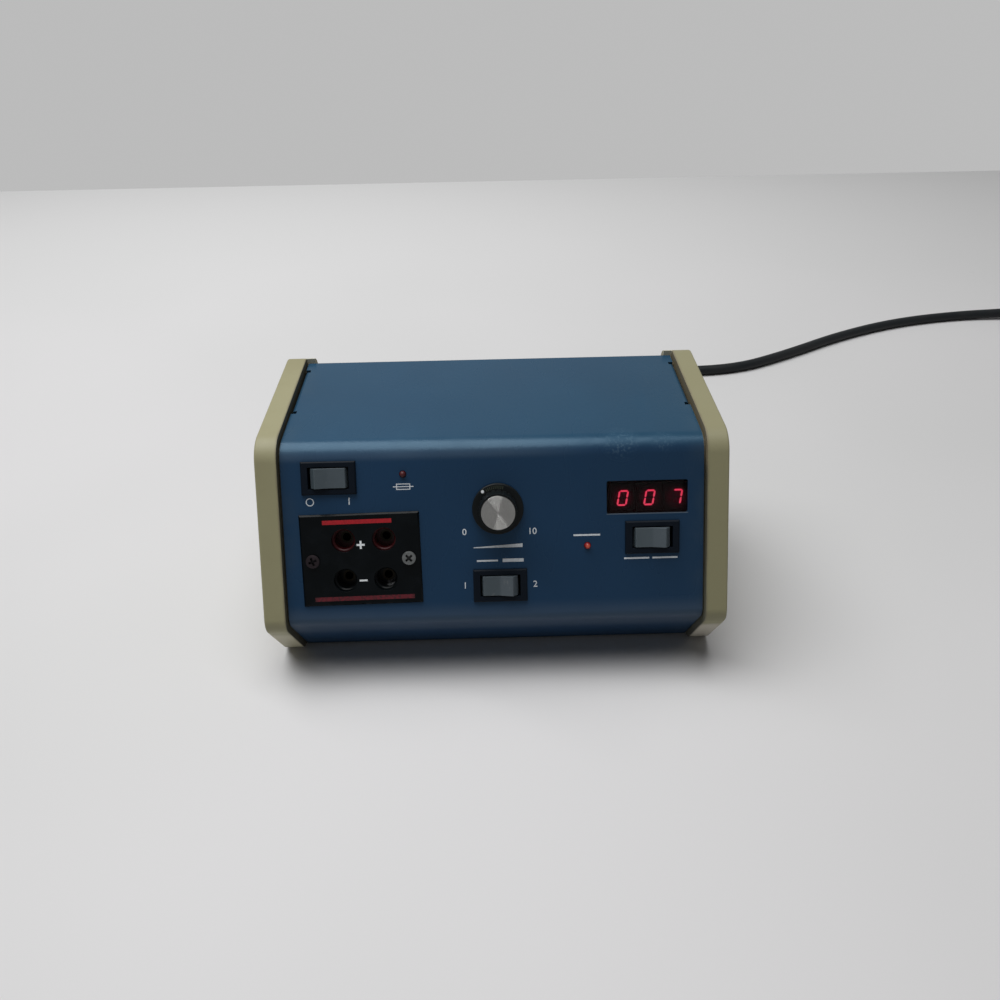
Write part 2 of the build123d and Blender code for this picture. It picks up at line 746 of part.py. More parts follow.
# Fuse holder through the rear wall, its turning cap and the fuse
def fuse_parts():
    place = Pos(fuse_at[0], rear_face, fuse_at[1]) * Rot(-90, 0, 0)
    holder = rod(holder_radius, -holder_length, 0) + rod(holder_flange, 0, holder_flange_thick)
    holder -= rod(holder_bore, -fuse_cap_stem - 0.4, holder_flange_thick + 1)
    holder -= rod(fuse_bore, -holder_length + 2, 0)
    save("fuse_holder", place * holder)
    back = fuse_cap_back - rear_face
    face = holder_flange_thick + fuse_cap_gap
    cap = rod(fuse_cap_radius, face, back)
    cap = chamfer(cap.edges().group_by(Axis.Z)[-1], 0.6)
    cap += rod(holder_bore - fit_clearance, -fuse_cap_stem, face)
    cap -= slab(10.0, 1.6, back - 1.6, back + 1)
    print_place("fuse cap hinge", place)
    save("fuse_cap", place * cap)
    save("fuse", place * rod(fuse_radius, -fuse_cap_stem - fuse_length, -fuse_cap_stem))


# Tapered relief where the lead leaves the rear wall
def relief_parts():
    place = Pos(relief_x(), rear_face, exit_height) * Rot(-90, 0, 0)
    relief = rod(relief_radius, -6, 0) + rod(relief_flange, 0, relief_flange_thick)
    taper = Cone(relief_radius, relief_tip, relief_length - relief_flange_thick,
                 align=(Align.CENTER, Align.CENTER, Align.MIN))
    relief += Pos(0, 0, relief_flange_thick) * taper
    save("strain_relief", place * relief)


def corner_radii(points):
    """Bend radius at each inner point: 0.45 of the shorter run over the tangent of half the turn."""
    radii = []
    for before, here, after in zip(points, points[1:], points[2:]):
        first = Vector(*here) - Vector(*before)
        second = Vector(*after) - Vector(*here)
        turn = math.radians(first.get_angle(second))
        radii.append(0.45 * min(first.length, second.length) / math.tan(turn / 2))
    return radii


def cord_tube(path):
    """The lead's round section swept along a path."""
    section = Plane(origin=path @ 0, z_dir=path % 0) * Circle(cord_diameter / 2)
    return sweep(section, path)


def free_run(node, points):
    """One free stretch of the lead through hand-set points."""
    radii = corner_radii(points)
    path = FilletPolyline(*points, radius=radii)
    tube = cord_tube(path)
    fill = tube.volume / (math.pi * (cord_diameter / 2) ** 2 * path.length)
    print(node, "length", round(path.length, 1), "radii", [round(r, 1) for r in radii], "volume ratio", round(fill, 4))
    save(node, tube)
    return path


# Coil: half turns that spiral in on the table, climb once and spiral out on top
def coil_path():
    x, y = coil_center
    spread = coil_inner + half_turns_in * coil_pitch / 2
    low = cord_rest
    high = cord_rest + coil_layer
    side = 1
    here = Vector(x + spread, y, low)
    arcs = []
    for number in range(half_turns_in):
        spread -= coil_pitch / 2
        there = Vector(x - side * spread, y, low)
        arcs.append(TangentArc(here, there, tangent=(0, side, 0)))
        here = there
        side = -side
    crest = math.sqrt(coil_inner ** 2 + coil_layer ** 2 / 4)
    middle = Vector(x, y + side * crest, (low + high) / 2)
    there = Vector(x - side * coil_inner, y, high)
    first = TangentArc(here, middle, tangent=(0, side, 0))
    arcs.append(first)
    arcs.append(TangentArc(middle, there, tangent=first % 1))
    here = there
    side = -side
    for number in range(half_turns_out):
        spread += coil_pitch / 2
        there = Vector(x - side * spread, y, high)
        arcs.append(TangentArc(here, there, tangent=(0, side, 0)))
        here = there
        side = -side
    return Wire([arc.edge() for arc in arcs]), here


def least_gap(path):
    """Smallest free space between turns, measured on points along the centre line."""
    step = 3.0
    count = int(path.length / step)
    points = [path @ (number / count) for number in range(count + 1)]
    apart = int(cord_diameter * 5 / step)
    nearest = min(
        (points[a] - points[b]).length for a in range(count) for b in range(a + apart, count + 1)
    )
    return nearest - cord_diameter


def cord_parts():
    x = relief_x()
    start = rear_face + relief_length
    coil, coil_end = coil_path()
    lead = (
        (x, start, exit_height),
        (x, start + lead_straight, exit_height),
        (x, start + lead_landing, cord_rest),
        (x, coil_center[1], cord_rest),
    )
    first = free_run("cord_lead", lead)
    tube = cord_tube(coil)
    print("coil length", round(coil.length, 1), "least gap", round(least_gap(coil), 2))
    save("cord_coil", tube)
    run = [(coil_end.X + right, coil_end.Y + back, cord_rest + up) for right, back, up in run_steps]
    second = free_run("cord_run", run)
    print("cord length", round(first.length + coil.length + second.length, 1))
    plug_parts(Plane(origin=second @ 1, x_dir=Vector(0, 0, 1).cross(second % 1), z_dir=second % 1).location)


# Moulded three-pin plug on the free end
def plug_parts(place):
    tail = Cone(cord_diameter / 2 + 0.8, 8.0, plug_tail, align=(Align.CENTER, Align.CENTER, Align.MIN))
    body = slab(*plug_size, plug_tail, plug_tail + plug_length)
    body = fillet(body.edges().filter_by(Axis.Z), 6.0)
    body = chamfer(body.edges().group_by(Axis.Z)[0], 3.0)
    save("plug_body", place * (tail + body))
    face = plug_tail + plug_length
    blades = []
    for side in (-1, 1):
        spot = Pos(side * blade_pitch / 2, blade_rise, 0)
        blades.append(place * spot * slab(*blade_size[:2], face, face + blade_size[2]))
    blades.append(place * Pos(0, -ground_drop, 0) * rod(ground_radius, face, face + ground_length))
    save("plug_blades", *blades)


cheek = right_cheek()
save("right_cheek", cheek)
save("left_cheek", mirror(cheek, about=Plane.YZ))
save("cheek_screws", *cheek_screws())
save("case_wrap", case_wrap())
save("chassis", chassis())
save("feet", *feet())
for name, x, s, count, turn in switch_list:
    place = on_panel(x, s)
    save(f"{name}_switch", place * switch_frame())
    save(f"{name}_rocker", place * rocker(turn))
    save(f"{name}_terminals", *[place * piece for piece in spades(count)])
    print_place(f"{name} hinge", place * Pos(0, 0, -rocker_hinge_depth))
knob_parts()
pot_parts()
output_parts()
display_parts()
lamp_parts()
board_parts()
transformer_parts()
sink_parts()
fuse_parts()
relief_parts()
cord_parts()
print("front", round(front_most, 3), "origin", round(origin_y, 3), "lean", round(math.degrees(lean), 3))
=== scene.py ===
import math

import bmesh
import bpy
from mathutils import Matrix, Vector


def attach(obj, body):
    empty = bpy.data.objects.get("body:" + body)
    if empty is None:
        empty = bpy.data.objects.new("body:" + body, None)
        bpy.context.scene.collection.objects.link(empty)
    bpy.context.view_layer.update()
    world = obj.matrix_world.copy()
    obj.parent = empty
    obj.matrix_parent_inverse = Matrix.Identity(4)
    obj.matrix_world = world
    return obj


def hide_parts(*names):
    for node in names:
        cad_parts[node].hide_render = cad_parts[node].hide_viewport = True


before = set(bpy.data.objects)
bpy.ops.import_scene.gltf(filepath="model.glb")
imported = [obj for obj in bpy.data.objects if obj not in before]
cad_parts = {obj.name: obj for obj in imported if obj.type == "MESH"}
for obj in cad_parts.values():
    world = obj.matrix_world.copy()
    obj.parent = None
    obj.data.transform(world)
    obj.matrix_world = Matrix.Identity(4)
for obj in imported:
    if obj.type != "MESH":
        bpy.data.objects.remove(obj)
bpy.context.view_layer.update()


# The camera stands in front of the instrument and looks down on it. It is turned aside by about
# a degree and tilted by about a degree, as one that is held by hand.
eye = Vector((-0.00083, -0.34177, 0.31363))
yaw, pitch, roll = (math.radians(angle) for angle in (0.728, 36.748, -0.996))
focal_share = 0.81
camera_data = bpy.data.cameras.new("camera")
camera_data.sensor_width = 36.0
camera_data.lens = camera_data.sensor_width * focal_share
camera_data.clip_end = 50.0
camera = bpy.data.objects.new("camera", camera_data)
bpy.context.scene.collection.objects.link(camera)
ahead = Vector((math.sin(yaw) * math.cos(pitch), math.cos(yaw) * math.cos(pitch), -math.sin(pitch)))
level = Vector((math.cos(yaw), -math.sin(yaw), 0.0))
above = level.cross(ahead)
camera_right = math.cos(roll) * level + math.sin(roll) * above
camera_up = -math.sin(roll) * level + math.cos(roll) * above
turn = Matrix((camera_right, camera_up, -ahead)).transposed()
camera.matrix_world = Matrix.Translation(eye) @ turn.to_4x4()
bpy.context.scene.camera = camera
bpy.context.scene.view_settings.view_transform = "Standard"


# The table is a plain pale laminate top. Its far edge meets a light grey wall, which the
# world's colour stands for, and a broad soft lamp hangs over it, a little to the left.
table_edge = 0.808
table_reach = 3.0
lamp_place = Vector((-0.28, 0.15, 1.35))
lamp_aim = Vector((0.0, 0.0, 0.05))
lamp_width, lamp_length, lamp_power = 0.95, 1.45, 23.4
wall_grey = 0.50
room_grey = 0.055


class Value:
    """A socket of a material's tree. Arithmetic on it adds the Math nodes."""

    def __init__(self, tree, socket):
        self.tree = tree
        self.socket = socket

    def node(self, kind, settings=None, inputs=None, output=0):
        """Adds any other node: first its settings, then the values or links of its sockets."""
        made = self.tree.nodes.new(kind)
        for name, setting in (settings or {}).items():
            setattr(made, name, setting)
        for name, value in (inputs or {}).items():
            if isinstance(value, Value):
                self.tree.links.new(value.socket, made.inputs[name])
            else:
                made.inputs[name].default_value = value
        return Value(self.tree, made.outputs[output])

    def math(self, operation, first, second=0.0):
        return self.node("ShaderNodeMath", {"operation": operation}, {0: first, 1: second})

    def __add__(self, other):
        return self.math("ADD", self, other)

    def __radd__(self, other):
        return self.math("ADD", other, self)

    def __sub__(self, other):
        return self.math("SUBTRACT", self, other)

    def __rsub__(self, other):
        return self.math("SUBTRACT", other, self)

    def __mul__(self, other):
        return self.math("MULTIPLY", self, other)

    def __rmul__(self, other):
        return self.math("MULTIPLY", other, self)

    def unsigned(self):
        return self.math("ABSOLUTE", self)

    def larger(self, other):
        """The larger of two values."""
        return self.math("MAXIMUM", self, other)

    def axis(self, name):
        """One coordinate of a vector."""
        return self.node("ShaderNodeSeparateXYZ", None, {0: self}, output="XYZ".index(name))

    def away(self, spot):
        """Distance from a point."""
        return self.node("ShaderNodeVectorMath", {"operation": "DISTANCE"}, {0: self, 1: spot}, output=1)

    def smooth(self, start, end):
        """Eases from 0 at start to 1 at end, whichever of the two is larger."""
        settings = {"interpolation_type": "SMOOTHSTEP"}
        return self.node("ShaderNodeMapRange", settings, {0: self, 1: start, 2: end})

    def noise(self, scale, detail=3.0, rough=0.5):
        sockets = {"Vector": self, "Scale": scale, "Detail": detail, "Roughness": rough}
        return self.node("ShaderNodeTexNoise", None, sockets)

    def stretch(self, x, y, z):
        """Coordinates scaled by axis, so that a noise on them runs in streaks."""
        return self.node("ShaderNodeVectorMath", {"operation": "MULTIPLY"}, {0: self, 1: (x, y, z)})

    def blend(self, first, second):
        """Colour that goes from first to second as this value goes from 0 to 1."""
        return self.node("ShaderNodeMix", {"data_type": "RGBA"}, {0: self, 6: first, 7: second}, output=2)

    def bump(self, strength, distance):
        sockets = {"Height": self, "Strength": strength, "Distance": distance}
        return self.node("ShaderNodeBump", None, sockets)


def start_material(name, **constants):
    """A new material with its constants set, and the object's coordinates as a Value."""
    material = bpy.data.materials.new(name)
    material.use_nodes = True
    shader = material.node_tree.nodes["Principled BSDF"]
    for socket, constant in constants.items():
        shader.inputs[socket.replace("_", " ")].default_value = constant
    place = material.node_tree.nodes.new("ShaderNodeTexCoord")
    return material, shader, Value(material.node_tree, place.outputs["Object"])


def feed(shader, **values):
    """Links values to the shader's sockets."""
    for socket, value in values.items():
        value.tree.links.new(value.socket, shader.inputs[socket.replace("_", " ")])


table_mesh = bpy.data.meshes.new("table")
corners = [(-table_reach, -table_reach, 0), (table_reach, -table_reach, 0)]
corners += [(table_reach, table_edge, 0), (-table_reach, table_edge, 0)]
table_mesh.from_pydata(corners, [], [(0, 1, 2, 3)])
table = bpy.data.objects.new("table", table_mesh)
bpy.context.scene.collection.objects.link(table)
tabletop, shader, place = start_material("tabletop", Roughness=0.6)
clouds = place.noise(2.5, 2.0).smooth(0.3, 0.7)
near_top = clouds.blend((0.62, 0.62, 0.62, 1.0), (0.66, 0.655, 0.66, 1.0))
# The top is painted lighter towards the wall, as painted light.
painted_light_toward_wall = place.axis("Y").smooth(0.10, 0.80) * 0.9
feed(shader, Base_Color=painted_light_toward_wall.blend(near_top, (0.79, 0.79, 0.79, 1.0)))
table_mesh.materials.append(tabletop)

lamp_data = bpy.data.lights.new("overhead lamp", "AREA")
lamp_data.shape = "RECTANGLE"
lamp_data.size = lamp_width
lamp_data.size_y = lamp_length
lamp_data.energy = lamp_power
lamp = bpy.data.objects.new("overhead lamp", lamp_data)
bpy.context.scene.collection.objects.link(lamp)
lamp.location = lamp_place
lamp.rotation_euler = (lamp_aim - lamp_place).to_track_quat("-Z", "Y").to_euler()

# Looked at or mirrored, the world is the grey wall; the light that it sheds is much dimmer.
world = bpy.data.worlds.new("room")
bpy.context.scene.world = world
world.use_nodes = True
background = world.node_tree.nodes["Background"]
rays = world.node_tree.nodes.new("ShaderNodeLightPath")
seen = Value(world.node_tree, rays.outputs["Is Camera Ray"])
for label in ("Is Glossy Ray", "Is Transmission Ray"):
    seen = seen.larger(Value(world.node_tree, rays.outputs[label]))
strength = seen * (wall_grey - room_grey) + room_grey
world.node_tree.links.new(strength.socket, background.inputs["Strength"])
background.inputs["Color"].default_value = (1.0, 1.0, 1.0, 1.0)


# The chassis is folded sheet with a dark grey crackle coat; bottom, rear wall and flanges are
# one piece. Four rubber feet are pushed up under it.
merge_gap = 0.000002
flat_within = math.radians(0.5)
edge_angle = math.radians(32.0)


def clouded(name, scale, first, second, rough, rough_range, **constants):
    """A plain finish: a soft noise moves its colour and roughness a little."""
    material, shader, place = start_material(name, **constants)
    clouds = place.noise(scale)
    feed(shader, Base_Color=clouds.blend((*first, 1.0), (*second, 1.0)))
    feed(shader, Roughness=rough + clouds * rough_range)
    return material


def add_object(name, mesh, material, body):
    """Puts a finished mesh in the scene as a piece of one body."""
    piece = bpy.data.objects.new(name, mesh)
    bpy.context.scene.collection.objects.link(piece)
    mesh.materials.clear()
    mesh.materials.append(material)
    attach(piece, body)
    return piece


def settled(carrier):
    """The carrier's mesh with its modifiers applied; the carrier and its modifiers go."""
    bpy.context.view_layer.update()
    graph = bpy.context.evaluated_depsgraph_get()
    ready = carrier.evaluated_get(graph)
    mesh = bpy.data.meshes.new_from_object(ready, preserve_all_data_layers=True, depsgraph=graph)
    bpy.data.objects.remove(carrier)
    return mesh


def dress(node, material, body, width, segments=2):
    """Shows a copy of a CAD node with its hard edges eased, in place of the node."""
    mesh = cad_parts[node].data.copy()
    work = bmesh.new()
    work.from_mesh(mesh)
    bmesh.ops.remove_doubles(work, verts=work.verts, dist=merge_gap)
    bmesh.ops.dissolve_limit(work, angle_limit=flat_within, verts=work.verts, edges=work.edges)
    work.to_mesh(mesh)
    work.free()
    mesh.shade_smooth()
    carrier = bpy.data.objects.new(node + "_dressed", mesh)
    bpy.context.scene.collection.objects.link(carrier)
    bevel = carrier.modifiers.new("eased edges", "BEVEL")
    bevel.width = width
    bevel.segments = segments
    bevel.limit_method = "ANGLE"
    bevel.angle_limit = edge_angle
    flatten = carrier.modifiers.new("flat faces stay flat", "WEIGHTED_NORMAL")
    flatten.weight = 90
    piece = add_object(node + "_dressed", settled(carrier), material, body)
    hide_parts(node)
    return piece


chassis_grey, shader, place = start_material("chassis_grey", Specular_IOR_Level=0.4)
clouds = place.noise(25.0, 3.0)
crackle = place.noise(650.0, 2.0)
feed(shader, Base_Color=clouds.blend((0.030, 0.030, 0.033, 1.0), (0.045, 0.045, 0.048, 1.0)))
feed(shader, Roughness=0.45 + clouds * 0.15, Normal=crackle.bump(0.25, 0.0003))
dress("chassis", chassis_grey, "case", 0.0002)
foot_rubber = clouded("foot_rubber", 400.0, (0.015, 0.015, 0.015), (0.03, 0.03, 0.03), 0.6, 0.2)
dress("feet", foot_rubber, "case", 0.0005)


# Inside, a board on posts carries the capacitors and the rectifier, a laminated transformer is
# bolted to the floor, and two power transistors lie on a heat sink of bare aluminium. Another
# board stands behind the meter. Little of it shows while the case is on.
def paint(material, *nodes):
    """Gives CAD nodes a finish."""
    for name in nodes:
        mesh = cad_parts[name].data
        mesh.materials.clear()
        mesh.materials.append(material)


board_green, shader, place = start_material("board_green", Roughness=0.35)
traces = place.noise(260.0, 2.0).smooth(0.48, 0.52)
feed(shader, Base_Color=traces.blend((0.015, 0.09, 0.04, 1.0), (0.03, 0.14, 0.06, 1.0)))
paint(board_green, "main_board", "display_board")
steel = clouded("bright_steel", 300.0, (0.42, 0.42, 0.40), (0.55, 0.55, 0.53), 0.25, 0.2, Metallic=1.0)
paint(steel, "display_posts", "board_posts", "transformer_bolts")
blue_sleeve = clouded("capacitor_sleeve", 80.0, (0.02, 0.03, 0.09), (0.03, 0.045, 0.12), 0.25, 0.1)
paint(blue_sleeve, "filter_capacitors")
core_iron, shader, place = start_material("core_laminations", Metallic=0.7, Roughness=0.5)
sheets = place.node("ShaderNodeTexWave", {"bands_direction": "Y"}, {"Vector": place, "Scale": 320.0})
feed(shader, Base_Color=sheets.blend((0.10, 0.09, 0.08, 1.0), (0.20, 0.19, 0.17, 1.0)))
feed(shader, Normal=sheets.bump(0.3, 0.0002))
paint(core_iron, "transformer_core")
winding_tape = clouded("winding_tape", 60.0, (0.45, 0.28, 0.03), (0.55, 0.36, 0.05), 0.35, 0.1)
paint(winding_tape, "transformer_winding")
aluminium = clouded("sink_aluminium", 200.0, (0.4, 0.4, 0.4), (0.52, 0.52, 0.52), 0.35, 0.15, Metallic=1.0)
paint(aluminium, "heat_sink")
nylon, shader, place = start_material("black_nylon", Specular_IOR_Level=0.10)
clouds = place.noise(240.0, 3.0)
dust = place.noise(60.0, 4.0).smooth(0.55, 0.85)
black = clouds.blend((0.0012, 0.0034, 0.0075, 1.0), (0.0026, 0.0056, 0.0108, 1.0))
feed(shader, Base_Color=(dust * 0.25).blend(black, (0.014, 0.019, 0.026, 1.0)))
feed(shader, Roughness=0.42 + clouds * 0.2)
paint(nylon, "rectifier", "power_transistors")


# The fuse is a glass tube in a black moulded holder, pushed through the rear wall and held by
# its flange. A slotted cap closes the holder and turns a quarter turn to let the fuse out.
dress("fuse_holder", nylon, "case", 0.0003)
dress("fuse_cap", nylon, "fuse_cap", 0.0003)
fuse_glass = clouded("fuse_glass", 100.0, (0.7, 0.72, 0.7), (0.8, 0.82, 0.8), 0.04, 0.03, Alpha=0.4)
paint(fuse_glass, "fuse")


# The mains lead is round black three-core flex, 7.6 mm thick and 1.83 m long. It leaves the
# rear wall, drops to the table, lies in a neat coil behind the case and runs on to the right.
# Places on the case are measured from its front edge and underside; case_shift adds the rest.
case_shift = Vector((0.0, -0.069013, 0.0008))
flex = 0.0076
flex_rest = 0.00385
exit_x, exit_y, exit_z = 0.073, 0.160, 0.018
coil_x, coil_y = 0.020, 0.238
coil_inner, coil_pitch, coil_layer = 0.0285, 0.0098, 0.00815
half_turns_in, half_turns_out = 5, 4
points_per_half = 7
low_z = flex_rest - case_shift.z
route = [
    Vector((exit_x, exit_y, exit_z)),
    Vector((exit_x, exit_y + 0.024, exit_z)),
    Vector((exit_x, exit_y + 0.050, low_z)),
]
for step in range((half_turns_in + half_turns_out + 1) * points_per_half + 1):
    half_turns = step / points_per_half
    wound_in = min(half_turns, half_turns_in)
    wound_out = max(half_turns - half_turns_in - 1, 0.0)
    reach = coil_inner + (half_turns_in - wound_in + wound_out) * coil_pitch / 2
    climb = min(max(half_turns - half_turns_in, 0.0), 1.0)
    angle = math.pi * half_turns
    turned = Vector((reach * math.cos(angle), reach * math.sin(angle), coil_layer * climb))
    route.append(Vector((coil_x, coil_y, low_z)) + turned)
coil_end = route[-1].copy()
route += [
    coil_end + Vector((0.0, 0.039, 0.0)),
    Vector((coil_end.x + 0.026, coil_end.y + 0.066, low_z + 0.003)),
    Vector((coil_end.x + 0.066, coil_end.y + 0.072, low_z)),
    Vector((0.196, 0.3105, low_z)),
    Vector((0.245, 0.3335, low_z)),
    Vector((0.302, 0.367, low_z)),
    Vector((0.362, 0.392, low_z)),
    Vector((0.424, 0.404, low_z)),
    Vector((0.474, 0.403, low_z + 0.002)),
    Vector((0.512, 0.398, 0.0121)),
    Vector((0.542, 0.393, 0.0121)),
]
curve = bpy.data.curves.new("mains_lead", "CURVE")
curve.dimensions = "3D"
spline = curve.splines.new("NURBS")
spline.points.add(len(route) - 1)
for point, spot in zip(spline.points, route):
    point.co = (*(spot + case_shift), 1.0)
spline.order_u = 3
spline.use_endpoint_u = True
spline.resolution_u = 6
curve.bevel_depth = flex / 2
curve.bevel_resolution = 5
curve.use_fill_caps = True
flex_rubber, shader, place = start_material("flex_rubber", Specular_IOR_Level=0.2)
grain = place.noise(900.0, 2.0)
soil = place.noise(30.0, 3.0).smooth(0.45, 0.75)
feed(shader, Base_Color=soil.blend((0.0055, 0.0075, 0.0090, 1.0), (0.012, 0.013, 0.014, 1.0)))
feed(shader, Roughness=0.42 + soil * 0.2, Normal=grain.bump(0.15, 0.0002))
lead = bpy.data.objects.new("mains_lead", curve)
bpy.context.scene.collection.objects.link(lead)
curve.materials.append(flex_rubber)
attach(lead, "case")
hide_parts("cord_lead", "cord_coil", "cord_run")


# The relief is a rubber sleeve moulded on the lead: a round flange against the rear wall and a
# taper that is ringed with deep grooves, so that it bends evenly as the lead is pulled.
wall_rear = 0.128
relief_radius, relief_tip, relief_long, relief_depth = 0.007, 0.0047, 0.032, 0.006
flange_radius, flange_thick, flange_ease, end_ease = 0.0095, 0.002, 0.0003, 0.0002
first_ring, relief_rings, ring_pitch, groove = 0.0032, 9, 0.0028, 0.0008
relief_steps = 48


def lathe(work, place, profile, steps, closed=True):
    """Turns a profile of (radius, height) pairs round the local z axis; radius 0 makes a pole."""
    rings = []
    for radius, height in profile:
        if radius == 0:
            rings.append([work.verts.new(place @ Vector((0, 0, height)))])
            continue
        angles = (2 * math.pi * step / steps for step in range(steps))
        circle = [Vector((radius * math.cos(angle), radius * math.sin(angle), height)) for angle in angles]
        rings.append([work.verts.new(place @ spot) for spot in circle])
    pairs = list(zip(rings, rings[1:]))
    if closed:
        pairs.append((rings[-1], rings[0]))
    for low, high in pairs:
        for step in range(steps):
            after = (step + 1) % steps
            if len(low) == 1 and len(high) == 1:
                break
            if len(low) == 1:
                work.faces.new((low[0], high[after], high[step]))
            elif len(high) == 1:
                work.faces.new((low[step], low[after], high[0]))
            else:
                work.faces.new((low[step], low[after], high[after], high[step]))


def as_mesh(work, name):
    """Ends a bmesh: normals outward, into a named mesh."""
    bmesh.ops.recalc_face_normals(work, faces=work.faces)
    mesh = bpy.data.meshes.new(name)
    work.to_mesh(mesh)
    work.free()
    return mesh


def sharpen(mesh, angle):
    """Smooth shading, with hard edges where faces meet at more than the angle."""
    mesh.shade_smooth()
    mesh.set_sharp_from_angle(angle=math.radians(angle))
    return mesh


profile = [(0.0, -relief_depth), (relief_radius - end_ease, -relief_depth)]
profile += [(relief_radius, end_ease - relief_depth), (relief_radius, 0.0)]
profile += [(flange_radius - flange_ease, 0.0), (flange_radius, flange_ease)]
profile += [(flange_radius, flange_thick - flange_ease), (flange_radius - flange_ease, flange_thick)]
for ring in range(relief_rings):
    start = first_ring + ring * ring_pitch
    for along, depth in ((0.0, groove), (0.0004, 0.0), (0.0014, 0.0), (0.0018, groove)):
        share = (start + along - flange_thick) / (relief_long - flange_thick)
        taper = relief_radius + (relief_tip - relief_radius) * share
        profile.append((taper - depth, start + along))
profile += [(relief_tip + 0.0001, relief_long - ring_pitch), (relief_tip, relief_long - end_ease)]
profile += [(relief_tip - end_ease, relief_long), (0.0, relief_long)]
relief_place = Matrix.Translation(Vector((exit_x, wall_rear, exit_z)) + case_shift)
relief_place = relief_place @ Matrix.Rotation(-math.pi / 2, 4, "X")
work = bmesh.new()
lathe(work, relief_place, profile, relief_steps, closed=False)
relief_mesh = sharpen(as_mesh(work, "relief"), 30)
relief = add_object("ringed_relief", relief_mesh, flex_rubber, "case")
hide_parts("strain_relief")


# The plug is one rubber moulding round three pins: a tapered tail, ribs across the flats for a
# grip, and two flat blades and a round earth pin of bare metal, each blade with a hole.
tail_start = route[-1] + case_shift
plug_out = (route[-1] - route[-2]).normalized()
plug_side = Vector((0, 0, 1)).cross(plug_out).normalized()
plug_axes = Matrix((plug_side, plug_out.cross(plug_side), plug_out)).transposed()
plug_place = Matrix.Translation(tail_start) @ plug_axes.to_4x4()
tail_long, body_long = 0.024, 0.036
tail_thin, tail_thick, tail_rings = 0.0046, 0.0080, 8
body_wide, body_high, body_round = 0.027, 0.025, 0.006
ribs, first_rib, rib_pitch, rib_deep = 5, 0.007, 0.0042, 0.0007
corner_steps = 6
blade_apart, blade_up, blade_thick = 0.00635, 0.0036, 0.0015
blade_high, blade_long, blade_tip = 0.00635, 0.0175, 0.0012
hole_radius, hole_at, hole_steps = 0.0016, 0.0128, 16
earth_down, earth_radius, earth_long = 0.0083, 0.0024, 0.02


def rounded(width, height, radius, steps):
    """Outline of a rectangle with round corners, anticlockwise from the right."""
    outline = []
    for quarter in range(4):
        center_x = (width / 2 - radius) * (1 if quarter in (0, 3) else -1)
        center_y = (height / 2 - radius) * (1 if quarter in (0, 1) else -1)
        for step in range(steps + 1):
            angle = math.pi / 2 * (quarter + step / steps)
            outline.append((center_x + radius * math.cos(angle), center_y + radius * math.sin(angle)))
    return outline


def loft(work, place, sections):
    """Joins (outline, height) sections of one length of outline, with flat ends."""
    rings = []
    for outline, height in sections:
        rings.append([work.verts.new(place @ Vector((x, y, height))) for x, y in outline])
    for low, high in zip(rings, rings[1:]):
        for step in range(len(low)):
            after = (step + 1) % len(low)
            work.faces.new((low[step], low[after], high[after], high[step]))
    work.faces.new(list(reversed(rings[0])))
    work.faces.new(rings[-1])


sections = []
for step in range(tail_rings):
    share = step / (tail_rings - 1)
    radius = tail_thin + (tail_thick - tail_thin) * share ** 1.3
    sections.append((rounded(radius * 2, radius * 2, radius * 0.999, corner_steps), tail_long * share))
for along, shrink in ((0.0001, 0.003), (0.0012, 0.0015), (0.003, 0.0)):
    outline = rounded(body_wide - 2 * shrink, body_high - 2 * shrink, body_round - shrink, corner_steps)
    sections.append((outline, tail_long + along))
for rib in range(ribs):
    start = tail_long + first_rib + rib * rib_pitch
    for along, shrink in ((0.0, 0.0), (0.0005, rib_deep), (0.0017, rib_deep), (0.0022, 0.0)):
        outline = rounded(body_wide - 2 * shrink, body_high - 2 * shrink, body_round, corner_steps)
        sections.append((outline, start + along))
for along, shrink in ((body_long - 0.0008, 0.0), (body_long, 0.0008)):
    outline = rounded(body_wide - 2 * shrink, body_high - 2 * shrink, body_round - shrink, corner_steps)
    sections.append((outline, tail_long + along))
work = bmesh.new()
loft(work, plug_place, sections)
plug = add_object("moulded_plug", sharpen(as_mesh(work, "plug"), 30), flex_rubber, "case")
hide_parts("plug_body")

pin_metal = clouded("pin_metal", 250.0, (0.50, 0.44, 0.30), (0.62, 0.56, 0.42), 0.25, 0.2, Metallic=1.0)
face = tail_long + body_long
end = face + blade_long
outer = [(-face, -blade_high / 2), (blade_tip - end, -blade_high / 2), (-end, blade_tip - blade_high / 2)]
outer += [(-end, blade_high / 2 - blade_tip), (blade_tip - end, blade_high / 2), (-face, blade_high / 2)]
hole = []
for step in range(hole_steps):
    angle = 2 * math.pi * step / hole_steps
    hole.append((hole_radius * math.cos(angle) - face - hole_at, hole_radius * math.sin(angle)))
work = bmesh.new()
for side in (-1, 1):
    blade = plug_place @ Matrix.Translation((side * blade_apart, blade_up, 0.0))
    blade = blade @ Matrix.Rotation(math.pi / 2, 4, "Y")
    levels = []
    for level in (-blade_thick / 2, blade_thick / 2):
        loops = []
        edges = []
        for outline in (outer, hole):
            loop = [work.verts.new(blade @ Vector((x, y, level))) for x, y in outline]
            edges += [work.edges.new((loop[i], loop[(i + 1) % len(loop)])) for i in range(len(loop))]
            loops.append(loop)
        bmesh.ops.triangle_fill(work, use_beauty=True, edges=edges)
        levels.append(loops)
    for low, high in zip(*levels):
        for step in range(len(low)):
            after = (step + 1) % len(low)
            work.faces.new((low[step], low[after], high[after], high[step]))
earth = plug_place @ Matrix.Translation((0.0, -earth_down, 0.0))
profile = [(0.0, face), (earth_radius, face), (earth_radius, face + earth_long - 0.0022)]
profile += [(0.0017, face + earth_long - 0.0006), (0.0006, face + earth_long), (0.0, face + earth_long)]
lathe(work, earth, profile, 24, closed=False)
